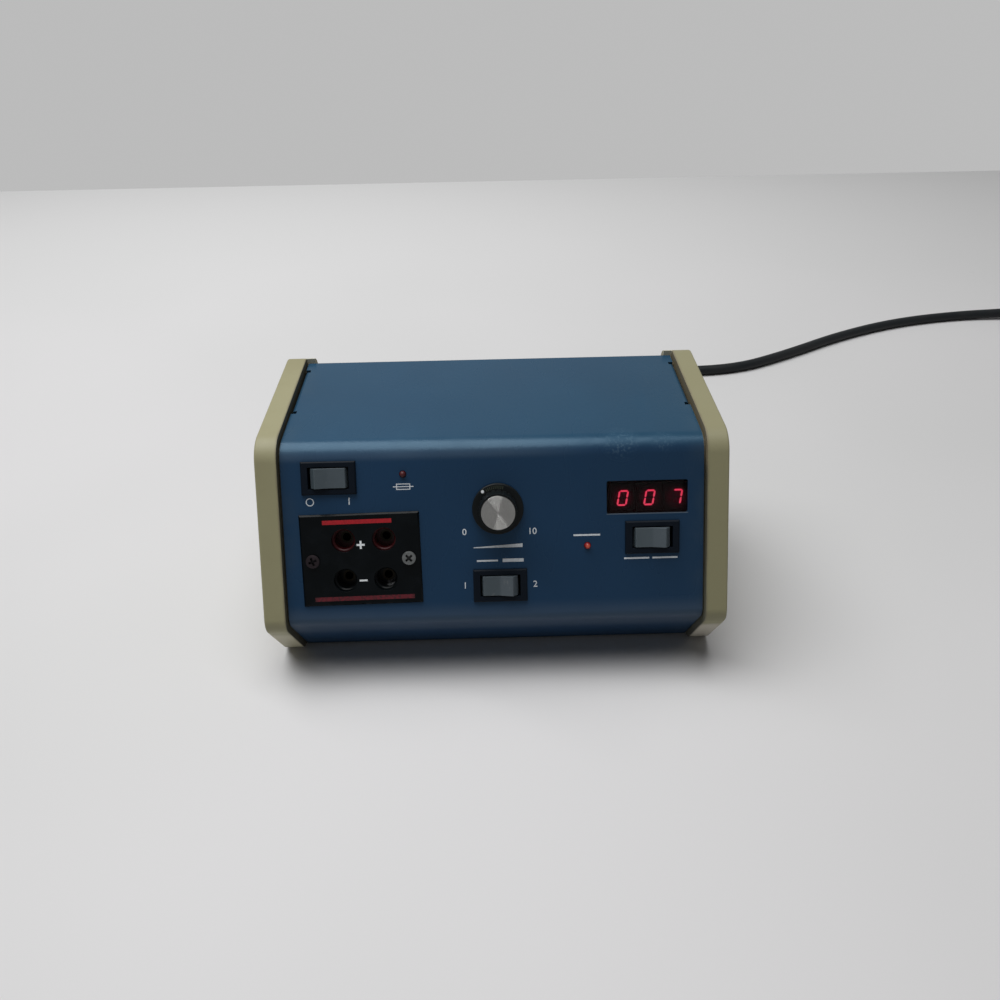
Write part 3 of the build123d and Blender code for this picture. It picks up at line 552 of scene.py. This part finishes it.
blades = add_object("plug_pins", sharpen(as_mesh(work, "plug pins"), 30), pin_metal, "case")
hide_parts("plug_blades")


# The wrap is one sheet of steel, folded over the top, down the sloped front and back under. Its
# satin dark blue enamel shows a fine orange peel, rubbed specks by the right top bend, duller
# edges along both sides and a thin haze of dust on top. Its colour also carries painted light:
# painted sheen on top, a painted highlight on the brow's left part and along the window sill and
# rear edge, a painted reflection of the table on the lower bend, and painted shade towards the
# right. Its sloped front is the panel.
# The cheeks' outline has corners at nose and brow, and the sheet lies wrap_gap inside it.
nose = Vector((0.0, 0.0, 0.0352))
brow = Vector((0.0, 0.0425, 0.1123))
wrap_gap = 0.003
up_slope = (brow - nose).normalized()
outward = Vector((0.0, -up_slope.z, up_slope.y))
panel_top = brow - outward * wrap_gap + case_shift
glaze = (0.45, 0.70, 0.90, 1.0)
enamel, shader, place = start_material("blue_enamel", Specular_IOR_Level=0.33, Specular_Tint=glaze)
across = place.axis("X")
height = place.axis("Z")
clouds = place.noise(14.0, 3.0).smooth(0.3, 0.7)
paint_blue = clouds.blend((0.0094, 0.0320, 0.0750, 1.0), (0.0108, 0.0360, 0.0840, 1.0))
# The sheet is painted darker towards the right: painted shade.
paint_blue = (across.smooth(-0.010, 0.100) * 0.32).blend(paint_blue, (0.0055, 0.0170, 0.0380, 1.0))
ripple = place.noise(900.0, 2.0)
rub = place.away((0.060, -0.0235, 0.109)).smooth(0.011, 0.003)
rub = rub + place.away((0.080, -0.024, 0.109)).smooth(0.007, 0.003) * 0.6
rubbed = (rub * ripple.smooth(0.52, 0.62) * 0.5).blend(paint_blue, (0.055, 0.100, 0.150, 1.0))
near_cheeks = across.unsigned().smooth(0.088, 0.0985)
side_haze = near_cheeks * place.noise(60.0, 4.0).smooth(0.35, 0.75)
haze_and_painted_light = (side_haze * 0.35).blend(rubbed, (0.035, 0.055, 0.080, 1.0))
# A pale grey band on the lower bend is a painted reflection of the table.
painted_table_reflection = height.smooth(0.0450, 0.0375) * height.smooth(0.018, 0.027)
haze_and_painted_light = (painted_table_reflection * (place.noise(40.0, 3.0) * 0.05 + 0.06)).blend(haze_and_painted_light, (0.30, 0.33, 0.34, 1.0))
# The top is painted a lighter blue: painted sheen, patchy like a thin haze of dust.
dust_and_painted_sheen = height.smooth(0.1060, 0.1098) * (place.noise(25.0, 4.0) * 0.5 + 0.75)
haze_and_painted_light = (dust_and_painted_sheen * 0.085).blend(haze_and_painted_light, (0.040, 0.270, 0.400, 1.0))
# A pale band along the left part of the brow bend is a painted highlight.
painted_brow_highlight = height.smooth(0.1030, 0.1060) * height.smooth(0.1106, 0.1088) * across.smooth(0.060, 0.0)
haze_and_painted_light = (painted_brow_highlight * (place.noise(35.0, 3.0) * 0.06 + 0.04)).blend(haze_and_painted_light, (0.30, 0.38, 0.42, 1.0))
# A painted highlight lies as a pale line along the lower edge of the display window, and one
# along the sheet's rear edge. Down is the way from the panel's upper edge, in millimetres.
down = (panel_top.dot(up_slope) - place.axis("Y") * up_slope.y - height * up_slope.z) * 1000
painted_sill_highlight = down.smooth(36.98, 36.93) * down.smooth(36.45, 36.50)
painted_sill_highlight = painted_sill_highlight * across.smooth(0.0528, 0.0533) * across.smooth(0.0918, 0.0912)
painted_rear_edge_highlight = place.axis("Y").smooth(0.05935, 0.05960)
haze_and_painted_light = (painted_sill_highlight.larger(painted_rear_edge_highlight) * 0.7).blend(haze_and_painted_light, (0.090, 0.115, 0.140, 1.0))
smears = place.stretch(1.0, 0.35, 0.35).noise(45.0, 4.0).smooth(0.45, 0.8)
peel = place.noise(520.0, 2.0)
dulled = height.smooth(0.0450, 0.0340)
roughness = 0.27 + smears * (1.0 - dulled) * 0.14 + rub * 0.15 + dulled * 0.22
feed(shader, Base_Color=haze_and_painted_light, Roughness=roughness, Normal=peel.bump(0.15, 0.0003))
dress("case_wrap", enamel, "case", 0.00025)


# The three rocker switches are black nylon frames, snapped into the sheet, with a grey rocker of
# two facets each. Fine pale marks are on the rockers, and tinned spades stand out behind.
rocker_grey, shader, place = start_material("rocker_grey", Specular_IOR_Level=0.45)
clouds = place.noise(150.0, 3.0)
shade = clouds.blend((0.044, 0.061, 0.073, 1.0), (0.058, 0.077, 0.090, 1.0))
# Each rocker's middle, and how much paler its right facet is painted, as painted light.
for middle_x, painted_light_share in ((-0.0765, 0.2), (0.0023, 0.8), (0.0745, 0.45)):
    past_middle = place.axis("X") - middle_x
    painted_facet = past_middle.smooth(-0.0008, 0.0008) * past_middle.smooth(0.030, 0.020)
    shade = (painted_facet * painted_light_share).blend(shade, (0.082, 0.102, 0.120, 1.0))
marks = place.stretch(1.0, 0.3, 0.3).noise(420.0, 4.0).smooth(0.62, 0.74)
feed(shader, Base_Color=(marks * 0.5).blend(shade, (0.16, 0.175, 0.185, 1.0)))
feed(shader, Roughness=0.36 + clouds * 0.18)
tinned = clouded("tinned_brass", 250.0, (0.50, 0.46, 0.36), (0.62, 0.58, 0.48), 0.25, 0.2, Metallic=1.0)
for switch in ("power", "range", "meter"):
    dress(switch + "_switch", nylon, "case", 0.0003, segments=3)
    dress(switch + "_rocker", rocker_grey, switch + "_rocker", 0.0003, segments=3)
    dress(switch + "_terminals", tinned, "case", 0.0001)


# The voltage knob is black, with a fluted grip and a wide skirt that bears a white pointer dot
# and faint greenish ticks. A spun aluminium cap is pressed in its end, and a set screw holds the
# knob on the steel shaft of the potentiometer, which a nut clamps to the sheet.
knob_x, knob_s, knob_turn = 1.9, 32.4, 40.0
cap_radius, cap_top, cap_low = 7.7, 15.6, 14.5
cap_ease, turning_pitch, turning_half, turning_depth = 0.05, 0.24, 0.022, 0.017
innermost = 0.2
first_tick, last_tick, ticks = 80.0, 36.0, 10
tick_reach, tick_level, tick_wide, tick_long = 10.3, 3.4, 0.26, 1.5
ink = (-0.02, 0.03)


def on_panel(x, s, lift=0.0, turn=0.0):
    """A place on the panel, in millimetres: x from its middle, s down from its upper edge, and
    lift out of its face, turned by degrees about its normal."""
    spot = panel_top + Vector((x / 1000, 0, 0)) - up_slope * (s / 1000) + outward * (lift / 1000)
    axes = Matrix((Vector((1, 0, 0)), up_slope, outward)).transposed().to_4x4()
    turned = Matrix.Rotation(math.radians(turn), 4, "Z") @ Matrix.Scale(0.001, 4)
    return Matrix.Translation(spot) @ axes @ turned


def prism(work, place, outline, low, high):
    """A closed outline of (x, y) pairs, given anticlockwise, raised between two heights."""
    bottom = [work.verts.new(place @ Vector((x, y, low))) for x, y in outline]
    top = [work.verts.new(place @ Vector((x, y, high))) for x, y in outline]
    work.faces.new(list(reversed(bottom)))
    work.faces.new(top)
    for step in range(len(outline)):
        after = (step + 1) % len(outline)
        work.faces.new((bottom[step], bottom[after], top[after], top[step]))


def rectangle(width, height, x=0.0, y=0.0):
    """Outline of a rectangle about a centre."""
    left, right = x - width / 2, x + width / 2
    low, high = y - height / 2, y + height / 2
    return [(left, low), (right, low), (right, high), (left, high)]


knob_place = on_panel(knob_x, knob_s, 0.0, knob_turn)
knob_black, shader, place = start_material("knob_black", Specular_IOR_Level=0.14)
clouds = place.noise(260.0, 3.0)
handled = place.noise(90.0, 4.0).smooth(0.5, 0.8)
feed(shader, Base_Color=clouds.blend((0.0026, 0.0038, 0.0042, 1.0), (0.0046, 0.0062, 0.0066, 1.0)))
feed(shader, Roughness=0.36 + handled * 0.22)
dress("knob_body", knob_black, "knob", 0.0002)

spun, shader, place = start_material("spun_aluminium", Metallic=1.0)
clouds = place.noise(350.0, 3.0)
feed(shader, Base_Color=clouds.blend((0.25, 0.248, 0.242, 1.0), (0.31, 0.307, 0.298, 1.0)))
feed(shader, Roughness=0.12 + clouds * 0.06)
profile = [(0.0, cap_low), (cap_radius, cap_low)]
profile += [(cap_radius, cap_top - cap_ease), (cap_radius - cap_ease, cap_top)]
radius = cap_radius - innermost
while radius > innermost:
    profile += [(radius + turning_half, cap_top), (radius, cap_top - turning_depth)]
    profile.append((radius - turning_half, cap_top))
    radius -= turning_pitch
profile.append((0.0, cap_top))
work = bmesh.new()
lathe(work, knob_place, profile, 120, closed=False)
cap = add_object("spun_cap", sharpen(as_mesh(work, "spun cap"), 5), spun, "knob")
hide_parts("knob_cap")

dot_white = clouded("dot_white", 700.0, (0.78, 0.82, 0.84), (0.84, 0.88, 0.90), 0.45, 0.1)
dress("knob_dot", dot_white, "knob", 0.0001)
tick_green = clouded("tick_green", 900.0, (0.018, 0.026, 0.016), (0.070, 0.085, 0.055), 0.4, 0.1)
work = bmesh.new()
for number in range(ticks):
    angle = math.radians(first_tick + (last_tick - first_tick) * number / (ticks - 1))
    tick = knob_place @ Matrix.Rotation(angle - math.pi / 2, 4, "Z")
    tick = tick @ Matrix.Translation((0.0, tick_reach, tick_level))
    prism(work, tick, rectangle(tick_wide, tick_long), *ink)
add_object("knob_ticks", as_mesh(work, "knob ticks"), tick_green, "knob")
paint(steel, "pot_shaft", "set_screw", "potentiometer", "pot_washer", "pot_nut")


# The output block is a glossy black moulding, held by a screw at each side. Each jack is a deep
# well with a red or black liner and a brass contact at its floor. Liners and contacts are painted
# dark as painted shade in the wells, and a painted glint lies on a black liner at the lower right.
block_x, block_s, block_turn, block_proud = -63.0, 55.1, 0.8, 1.2
glint_at = (12.6, -13.4, -6.8)
screw_reach, screw_end = 22.6, -9.0
recess_level, recess_top, recess_floor = 2.2, 2.50, 2.26
block_place = on_panel(block_x, block_s, 0.0, block_turn)
gloss_black, shader, place = start_material("gloss_black", Specular_IOR_Level=0.08)
clouds = place.noise(120.0, 4.0).smooth(0.4, 0.7)
black = clouds.blend((0.0014, 0.0026, 0.0034, 1.0), (0.0028, 0.0042, 0.0054, 1.0))
feed(shader, Base_Color=black, Roughness=0.16 + clouds * 0.16)
dress("output_block", gloss_black, "case", 0.00025)
black_liner, shader, place = start_material("black_liner", Specular_IOR_Level=0.1)
# A pale patch on the black liner at the lower right is a painted glint.
painted_glint = place.away(tuple(block_place @ Vector(glint_at))).smooth(0.0034, 0.0016)
painted_glint = painted_glint * place.stretch(1.0, 0.6, 0.6).noise(520.0, 4.0, 0.7).smooth(0.44, 0.54)
feed(shader, Base_Color=painted_glint.blend((0.0020, 0.0030, 0.0038, 1.0), (0.62, 0.64, 0.66, 1.0)))
feed(shader, Roughness=0.3 + painted_glint * 0.2)
paint(black_liner, "black_liners")
# The red liners are painted a very dark red: painted shade in the wells.
dark_red, bright_red = (0.026, 0.0015, 0.0025), (0.042, 0.0025, 0.004)
paint(clouded("red_liner", 120.0, dark_red, bright_red, 0.3, 0.15, Specular_IOR_Level=0.2), "red_liners")
# The brass contacts are painted nearly black: painted shade at the floors of the wells.
brass = clouded("shade_darkened_brass", 250.0, (0.01, 0.009, 0.007), (0.02, 0.017, 0.013), 0.35, 0.2, Metallic=1.0)
paint(brass, "jack_contacts")
paint(tinned, "jack_nuts")

dark_steel, shader, place = start_material("darkened_steel", Metallic=1.0)
clouds = place.noise(500.0)
# The left screw head is painted darker: painted shade.
left_screw_shade = place.axis("X").smooth(-0.060, -0.070)
shade = clouds.blend((0.09, 0.095, 0.095, 1.0), (0.22, 0.23, 0.23, 1.0))
shade = left_screw_shade.blend(shade, (0.030, 0.024, 0.027, 1.0))
# Height above the panel's face, in millimetres.
rise = (place.axis("Y") * outward.y + place.axis("Z") * outward.z - panel_top.dot(outward)) * 1000
# The cross recesses are painted nearly black: painted shade.
for side in (-1, 1):
    center = block_place @ Vector((side * screw_reach, 0.0, recess_level))
    recess = rise.smooth(recess_top, recess_floor) * place.away(tuple(center)).smooth(0.0024, 0.0020)
    shade = (recess * 0.85).blend(shade, (0.012, 0.012, 0.013, 1.0))
feed(shader, Base_Color=shade, Roughness=0.3 + clouds * 0.25)


def screw_head(radius, height, arm, depth):
    """A domed head with a cross recess, its seat at height 0 and its axis along z."""
    work = bmesh.new()
    steps = 48
    half_slot = arm * math.tan(math.radians(15.0))
    angles = [2 * math.pi * step / steps for step in range(steps)]
    cross = []
    for angle in angles:
        fold = abs((angle + math.pi / 4) % (math.pi / 2) - math.pi / 4)
        cross.append(min(arm / math.cos(fold), half_slot / max(math.sin(fold), 0.001)))
    rings = [[work.verts.new((0.0, 0.0, height - depth))]]
    rows = [(0.0, 0.72, 0.9 * depth)] + [(share, 1.0, 0.0) for share in (0.0, 0.2, 0.45, 0.7, 0.88, 1.0)]
    for share, narrow, sunk in rows:
        ring = []
        for angle, inner in zip(angles, cross):
            reach = inner * narrow + (radius - inner) * share
            level = height - 0.30 * height * (reach / radius) ** 2.5 - sunk
            ring.append(work.verts.new((reach * math.cos(angle), reach * math.sin(angle), level)))
        rings.append(ring)
    rim = [(radius * math.cos(angle), radius * math.sin(angle), 0.0) for angle in angles]
    rings.append([work.verts.new(spot) for spot in rim])
    bottom = work.verts.new((0.0, 0.0, 0.0))
    for low, high in zip(rings, rings[1:]):
        for step in range(steps):
            after = (step + 1) % steps
            if len(low) == 1:
                work.faces.new((low[0], high[step], high[after]))
            else:
                work.faces.new((low[step], high[step], high[after], low[after]))
    for step in range(steps):
        work.faces.new((rings[-1][(step + 1) % steps], rings[-1][step], bottom))
    return as_mesh(work, "screw head")


def repeat(name, unit, spots, material, turn_range, seed):
    """Sets one small mesh at each (place, facing), its z axis along the facing, as one plain mesh."""
    points = bpy.data.meshes.new(name + " places")
    points.from_pydata([spot for spot, facing in spots], [], [])
    facings = points.attributes.new("facing", "FLOAT_VECTOR", "POINT")
    for item, (spot, facing) in zip(facings.data, spots):
        item.vector = facing
    carrier = bpy.data.objects.new(name + " places", points)
    sample = bpy.data.objects.new(name + " unit", unit)
    for helper in (carrier, sample):
        bpy.context.scene.collection.objects.link(helper)
    tree = bpy.data.node_groups.new(name + " nodes", "GeometryNodeTree")
    tree.interface.new_socket("Places", in_out="INPUT", socket_type="NodeSocketGeometry")
    named = {
        "Unit": ("NodeSocketObject", sample),
        "Turn": ("NodeSocketFloat", turn_range),
        "Seed": ("NodeSocketInt", seed),
        "Finish": ("NodeSocketMaterial", material),
    }
    tree.interface.new_socket("Parts", in_out="OUTPUT", socket_type="NodeSocketGeometry")
    modifier = carrier.modifiers.new(name, "NODES")
    modifier.node_group = tree
    for label, (kind, value) in named.items():
        socket = tree.interface.new_socket(label, in_out="INPUT", socket_type=kind)
        modifier[socket.identifier] = value
    given = tree.nodes.new("NodeGroupInput")
    result = tree.nodes.new("NodeGroupOutput")
    info = tree.nodes.new("GeometryNodeObjectInfo")
    facing = tree.nodes.new("GeometryNodeInputNamedAttribute")
    facing.data_type = "FLOAT_VECTOR"
    facing.inputs["Name"].default_value = "facing"
    align = tree.nodes.new("FunctionNodeAlignRotationToVector")
    align.axis = "Z"
    chance = tree.nodes.new("FunctionNodeRandomValue")
    chance.data_type = "FLOAT"
    about = tree.nodes.new("FunctionNodeAxisAngleToRotation")
    about.inputs["Axis"].default_value = (0.0, 0.0, 1.0)
    spin = tree.nodes.new("FunctionNodeRotateRotation")
    spin.rotation_space = "LOCAL"
    instance = tree.nodes.new("GeometryNodeInstanceOnPoints")
    realize = tree.nodes.new("GeometryNodeRealizeInstances")
    finish = tree.nodes.new("GeometryNodeSetMaterial")
    links = (
        (given.outputs["Unit"], info.inputs["Object"]),
        (facing.outputs["Attribute"], align.inputs["Vector"]),
        (given.outputs["Turn"], chance.inputs[3]),
        (given.outputs["Seed"], chance.inputs["Seed"]),
        (chance.outputs[1], about.inputs["Angle"]),
        (align.outputs["Rotation"], spin.inputs["Rotation"]),
        (about.outputs["Rotation"], spin.inputs["Rotate By"]),
        (given.outputs["Places"], instance.inputs["Points"]),
        (info.outputs["Geometry"], instance.inputs["Instance"]),
        (spin.outputs["Rotation"], instance.inputs["Rotation"]),
        (instance.outputs["Instances"], realize.inputs["Geometry"]),
        (realize.outputs["Geometry"], finish.inputs["Geometry"]),
        (given.outputs["Finish"], finish.inputs["Material"]),
        (finish.outputs["Geometry"], result.inputs["Parts"]),
    )
    for start, end in links:
        tree.links.new(start, end)
    mesh = settled(carrier)
    bpy.data.objects.remove(sample)
    return mesh


def thread(root, crest, neck, pitch, low, high):
    """Profile of a threaded shank from its tip to its neck."""
    profile = [(0.0, low)]
    for turn in range(int((high - low) / pitch)):
        profile += [(root, low + (turn + 1 / 7) * pitch), (crest, low + (turn + 4 / 7) * pitch)]
    return profile + [(neck, high), (0.0, high)]


head_unit = sharpen(screw_head(radius=0.0032, height=0.0015, arm=0.0020, depth=0.0013), 25)
spots = [(block_place @ Vector((side * screw_reach, 0.0, block_proud)), outward) for side in (-1, 1)]
heads = repeat("output_screw_heads", head_unit, spots, dark_steel, turn_range=1.57, seed=2)
work = bmesh.new()
work.from_mesh(heads)
shank = thread(root=1.35, crest=1.6, neck=1.4, pitch=0.7, low=screw_end, high=block_proud)
for side in (-1, 1):
    stem = block_place @ Matrix.Translation((side * screw_reach, 0.0, 0.0))
    lathe(work, stem, shank, 16, closed=False)
screw_mesh = sharpen(as_mesh(work, "output screws"), 25)
screws = add_object("output_screws_dressed", screw_mesh, dark_steel, "case")
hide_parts("output_screws")


# The printing is silk-screened ink, hardly raised and a little rubbed: in white a ring and a bar
# at the power switch, a fuse symbol, plain numbers, a rising wedge and plain bars, and on the
# output block plus and minus in white and two plain bars in red.
def printed(work, place, words, size):
    """Adds words as a thin raised mesh, centred on a place."""
    letters = bpy.data.curves.new("letters", "FONT")
    letters.body = words
    letters.size = size
    letters.align_x = "CENTER"
    letters.align_y = "CENTER"
    letters.extrude = 0.03
    letters.offset = 0.035
    letters.resolution_u = 4
    carrier = bpy.data.objects.new("letters", letters)
    bpy.context.scene.collection.objects.link(carrier)
    mesh = settled(carrier)
    mesh.transform(place)
    work.from_mesh(mesh)
    bpy.data.meshes.remove(mesh)


white_ink = clouded("white_ink", 700.0, (0.56, 0.60, 0.64), (0.74, 0.78, 0.81), 0.45, 0.1)
number_size = 4.3
line = 0.42
fuse_mark = on_panel(-42.0, 21.2)
wedge = [(-11.6, -0.9), (11.6, -0.9), (11.6, 0.9), (-11.6, -0.55)]
# Each bar's x, s, width and height.
bars = (
    (-67.5, 27.4, 0.52, 3.4),
    (-3.6, 57.5, 10.0, 0.8),
    (8.6, 57.5, 10.0, 1.6),
    (43.6, 46.3, 12.6, 0.8),
    (67.2, 58.0, 12.0, 0.8),
    (80.6, 58.0, 12.0, 0.8),
)
work = bmesh.new()
lathe(work, on_panel(-85.8, 27.5), [(1.92, ink[0]), (1.92, ink[1]), (1.48, ink[1]), (1.48, ink[0])], 48)
prism(work, fuse_mark, rectangle(9.6, line), *ink)
for y in (-1.25, 1.25):
    prism(work, fuse_mark, rectangle(6.6, line, 0.0, y), *ink)
for x in (-3.1, 3.1):
    for y in (-0.62, 0.62):
        prism(work, fuse_mark, rectangle(line, 0.83, x, y), *ink)
for x, s, number in ((-14.1, 43.6, "0"), (17.9, 43.9, "10"), (-14.4, 69.4, "1"), (18.9, 69.4, "2")):
    printed(work, on_panel(x, s), number, number_size)
prism(work, on_panel(1.6, 50.4), wedge, *ink)
for x, s, width, height in bars:
    prism(work, on_panel(x, s), rectangle(width, height), *ink)
add_object("panel_printing", as_mesh(work, "panel printing"), white_ink, "case")

work = bmesh.new()
top_ink = (block_proud + ink[0], block_proud + ink[1])
prism(work, block_place, rectangle(3.8, 0.95, 0.2, 7.0), *top_ink)
for y in (8.2, 5.8):
    prism(work, block_place, rectangle(0.95, 1.45, 0.2, y), *top_ink)
prism(work, block_place, rectangle(3.7, 0.85, 0.6, -10.1), *top_ink)
add_object("polarity_marks", as_mesh(work, "polarity marks"), dot_white, "case")

red_ink, shader, place = start_material("red_ink", Roughness=0.45, Specular_IOR_Level=0.3)
rub_away = place.noise(900.0, 4.0, 0.7).smooth(0.42, 0.62)
lower = place.axis("Z").smooth(0.058, 0.050)
red = (lower * 0.85).blend((0.40, 0.014, 0.022, 1.0), (0.075, 0.010, 0.018, 1.0))
feed(shader, Base_Color=(rub_away * (0.25 + lower * 0.45)).blend(red, (0.010, 0.006, 0.007, 1.0)))
work = bmesh.new()
prism(work, block_place, rectangle(32.4, 2.0, -1.0, 18.1), *top_ink)
prism(work, block_place, rectangle(47.0, 2.0, 0.8, -18.6), *top_ink)
add_object("red_bars", as_mesh(work, "red bars"), red_ink, "case")


# The meter shows three seven-segment digits behind a dark red filter. Each digit is a black
# package with slanted bars in its face, of which the lit ones glow.
digit_row = 29.7
# Each digit's place across the panel, and its bars that are lit.
digits = ((61.3, "abcdef"), (74.0, "abcdef"), (87.0, "abc"))
digit_height, digit_width, stroke, slant = 6.7, 4.0, 0.85, math.tan(math.radians(10.0))
gap = 0.10
bar_low, bar_high = -4.05, -3.9
dim_red, lighter_red = (0.006, 0.0010, 0.0015), (0.009, 0.0014, 0.002)
see_through = {"Alpha": 0.45, "Specular_IOR_Level": 0.10}
red_filter = clouded("red_filter", 60.0, dim_red, lighter_red, 0.08, 0.04, **see_through)
paint(red_filter, "display_window")
digit_black, shader, place = start_material("digit_black", Roughness=0.45, Emission_Strength=0.35)
# Round each digit a painted red glow lies on the black package.
painted_glow = 0.0
for digit_x, lit in digits:
    glow_spread = place.away(tuple(on_panel(digit_x, digit_row, -4.0).translation)).smooth(0.0062, 0.0020)
    painted_glow = glow_spread + painted_glow
feed(shader, Base_Color=place.noise(300.0).blend((0.004, 0.003, 0.003, 1.0), (0.007, 0.005, 0.005, 1.0)))
feed(shader, Emission_Color=painted_glow.blend((0.0, 0.0, 0.0, 1.0), (0.150, 0.0, 0.018, 1.0)))
paint(digit_black, "display_digits")
lit_segment, shader, place = start_material("lit_segment", Roughness=0.4, Emission_Strength=2.3)
glow = place.noise(800.0, 2.0)
feed(shader, Emission_Color=glow.blend((1.0, 0.008, 0.055, 1.0), (1.0, 0.040, 0.130, 1.0)))
dark_segment = clouded("dark_segment", 300.0, (0.020, 0.006, 0.007), (0.028, 0.009, 0.010), 0.4, 0.1)
right, top = digit_width / 2, digit_height / 2
segment_bars = {
    "a": ((-right, top), (right, top)),
    "b": ((right, top), (right, 0.0)),
    "c": ((right, 0.0), (right, -top)),
    "d": ((-right, -top), (right, -top)),
    "e": ((-right, 0.0), (-right, -top)),
    "f": ((-right, top), (-right, 0.0)),
    "g": ((-right, 0.0), (right, 0.0)),
}
lit_work, dark_work = bmesh.new(), bmesh.new()
for digit_x, lit in digits:
    digit_place = on_panel(digit_x, digit_row)
    for letter, (start, end) in segment_bars.items():
        along = Vector((end[0] - start[0], end[1] - start[1], 0)).normalized()
        side = Vector((-along.y, along.x, 0)) * stroke / 2
        first = Vector((*start, 0)) + along * gap
        last = Vector((*end, 0)) - along * gap
        tip = along * stroke / 2
        loop = [first, first + tip - side, last - tip - side, last, last - tip + side, first + tip + side]
        outline = [(point.x + point.y * slant, point.y) for point in loop]
        prism(lit_work if letter in lit else dark_work, digit_place, outline, bar_low, bar_high)
add_object("lit_segments", as_mesh(lit_work, "lit segments"), lit_segment, "case")
add_object("dark_segments", as_mesh(dark_work, "dark segments"), dark_segment, "case")


# Two small red lamps with domed lenses are pushed through the sheet, each in a black nylon clip
# behind it. The upper left one is out, and the lower right one glows a little.
lens = {"Specular_IOR_Level": 0.3}
dull_lens = clouded("dull_red_lens", 900.0, (0.040, 0.004, 0.006), (0.075, 0.007, 0.009), 0.25, 0.2, **lens)
lit_lens, shader, place = start_material("lit_red_lens", Roughness=0.3, Emission_Strength=0.10, **lens)
center = on_panel(43.9, 51.4, 2.0).translation
core = place.away(tuple(center)).smooth(0.0014, 0.0004)
feed(shader, Base_Color=core.blend((0.16, 0.010, 0.010, 1.0), (0.38, 0.06, 0.04, 1.0)))
feed(shader, Emission_Color=core.blend((0.35, 0.010, 0.008, 1.0), (0.95, 0.22, 0.10, 1.0)))
dress("fuse_led", dull_lens, "case", 0.0001)
dress("overcurrent_led", lit_lens, "case", 0.0001)
paint(nylon, "led_clips")


# The two cheeks are tan mouldings with a fine satin grain. Their colour also carries painted light
# and shade: painted shade in the left ledge where they meet the sheet, on the rims' inner walls
# and over the right cheek, painted light and shade up the right ledge, and painted light on the
# rear lip's front face and on the toes in front.
cheek_tan, shader, place = start_material("cheek_tan", Specular_IOR_Level=0.35)
depth = place.axis("Y")
height = place.axis("Z")
right = place.axis("X").smooth(-0.05, 0.05)
outside = place.axis("X").unsigned()
grain = place.noise(900.0, 3.0)
patches = place.noise(28.0, 4.0).smooth(0.4, 0.75)
plastic = patches.blend((0.300, 0.283, 0.166, 1.0), (0.262, 0.243, 0.139, 1.0))
# The right cheek is painted darker: painted shade.
plastic = (right * 0.8).blend(plastic, (0.238, 0.224, 0.130, 1.0))
# The toes are painted paler: painted light thrown up from the table.
toe_light_colour = right.blend((0.460, 0.430, 0.310, 1.0), (0.500, 0.465, 0.395, 1.0))
painted_toe_light = height.smooth(0.0300, 0.0240) * depth.smooth(-0.030, -0.045) * outside.smooth(0.1098, 0.1092)
plastic = (painted_toe_light * 0.9).blend(plastic, toe_light_colour)
before_lip = depth.smooth(0.0599, 0.0597)
# The left ledge between rim and sheet is painted dark as painted shade; the right one is painted lighter
# towards the top as painted light and shade.
ledge_shade_mask = outside.smooth(0.1002, 0.0994) * before_lip
right_ledge_painted = height.smooth(0.080, 0.030).blend((0.045, 0.041, 0.029, 1.0), (0.080, 0.082, 0.062, 1.0))
right_ledge_painted = height.smooth(0.096, 0.104).blend(right_ledge_painted, (0.165, 0.135, 0.085, 1.0))
ledge_light_and_shade = right.blend((0.022, 0.020, 0.014, 1.0), right_ledge_painted)
painted_ledge_and_lip = ledge_shade_mask.blend(plastic, ledge_light_and_shade)
# The rear lip's front face is painted paler: painted light.
rear_lip_light = outside.smooth(0.1004, 0.0998) * depth.smooth(0.0597, 0.0599) * depth.smooth(0.0606, 0.0603)
painted_ledge_and_lip = (rear_lip_light * height.smooth(0.096, 0.102)).blend(painted_ledge_and_lip, (0.62, 0.59, 0.45, 1.0))
# The rims' inner walls are painted darker in patches: painted shade.
inner_wall_shade = outside.smooth(0.1009, 0.0998) * (1.0 - ledge_shade_mask) * before_lip
inner_wall_shade = inner_wall_shade * place.noise(90.0, 3.0).smooth(0.3, 0.6)
cheek_with_painted_light = (inner_wall_shade * 0.5).blend(painted_ledge_and_lip, (0.12, 0.095, 0.07, 1.0))
feed(shader, Base_Color=cheek_with_painted_light, Roughness=0.46 + patches * 0.12, Normal=grain.bump(0.15, 0.0002))
for cheek in ("left_cheek", "right_cheek"):
    dress(cheek, cheek_tan, "case", 0.0003)


# Eight zinc-plated pan-head screws hold the cheeks, each with a domed head and a cross recess.
# The upper four go through the wrap's tabs, and the lower four through the chassis flanges.
head_seat = 0.107
# Each screw's y and z on the case, and how far from the middle its tip is.
screw_places = (
    (0.086, 0.101, 0.0948),
    (0.109, 0.101, 0.0948),
    (0.041, 0.016, 0.0912),
    (0.106, 0.016, 0.0912),
)
zinc = clouded("zinc_plate", 300.0, (0.42, 0.42, 0.40), (0.55, 0.55, 0.53), 0.28, 0.2, Metallic=1.0)
head_unit = sharpen(screw_head(radius=0.0032, height=0.0022, arm=0.0019, depth=0.0011), 25)
spots = []
for side in (-1, 1):
    for y, z, end in screw_places:
        spots.append((Vector((side * head_seat, y, z)) + case_shift, (side, 0.0, 0.0)))
heads = repeat("cheek_screw_heads", head_unit, spots, zinc, turn_range=1.57, seed=4)
work = bmesh.new()
work.from_mesh(heads)
for side in (-1, 1):
    for y, z, end in screw_places:
        stem = Matrix.Translation(Vector((side * end, y, z)) + case_shift)
        stem = stem @ Matrix.Rotation(side * math.pi / 2, 4, "Y")
        shank = thread(root=0.0015, crest=0.00175, neck=0.0015, pitch=0.0007, low=0.0, high=head_seat - end)
        lathe(work, stem, shank, 16, closed=False)
screw_mesh = sharpen(as_mesh(work, "cheek screws"), 25)
screws = add_object("cheek_screws_dressed", screw_mesh, zinc, "case")
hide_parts("cheek_screws")
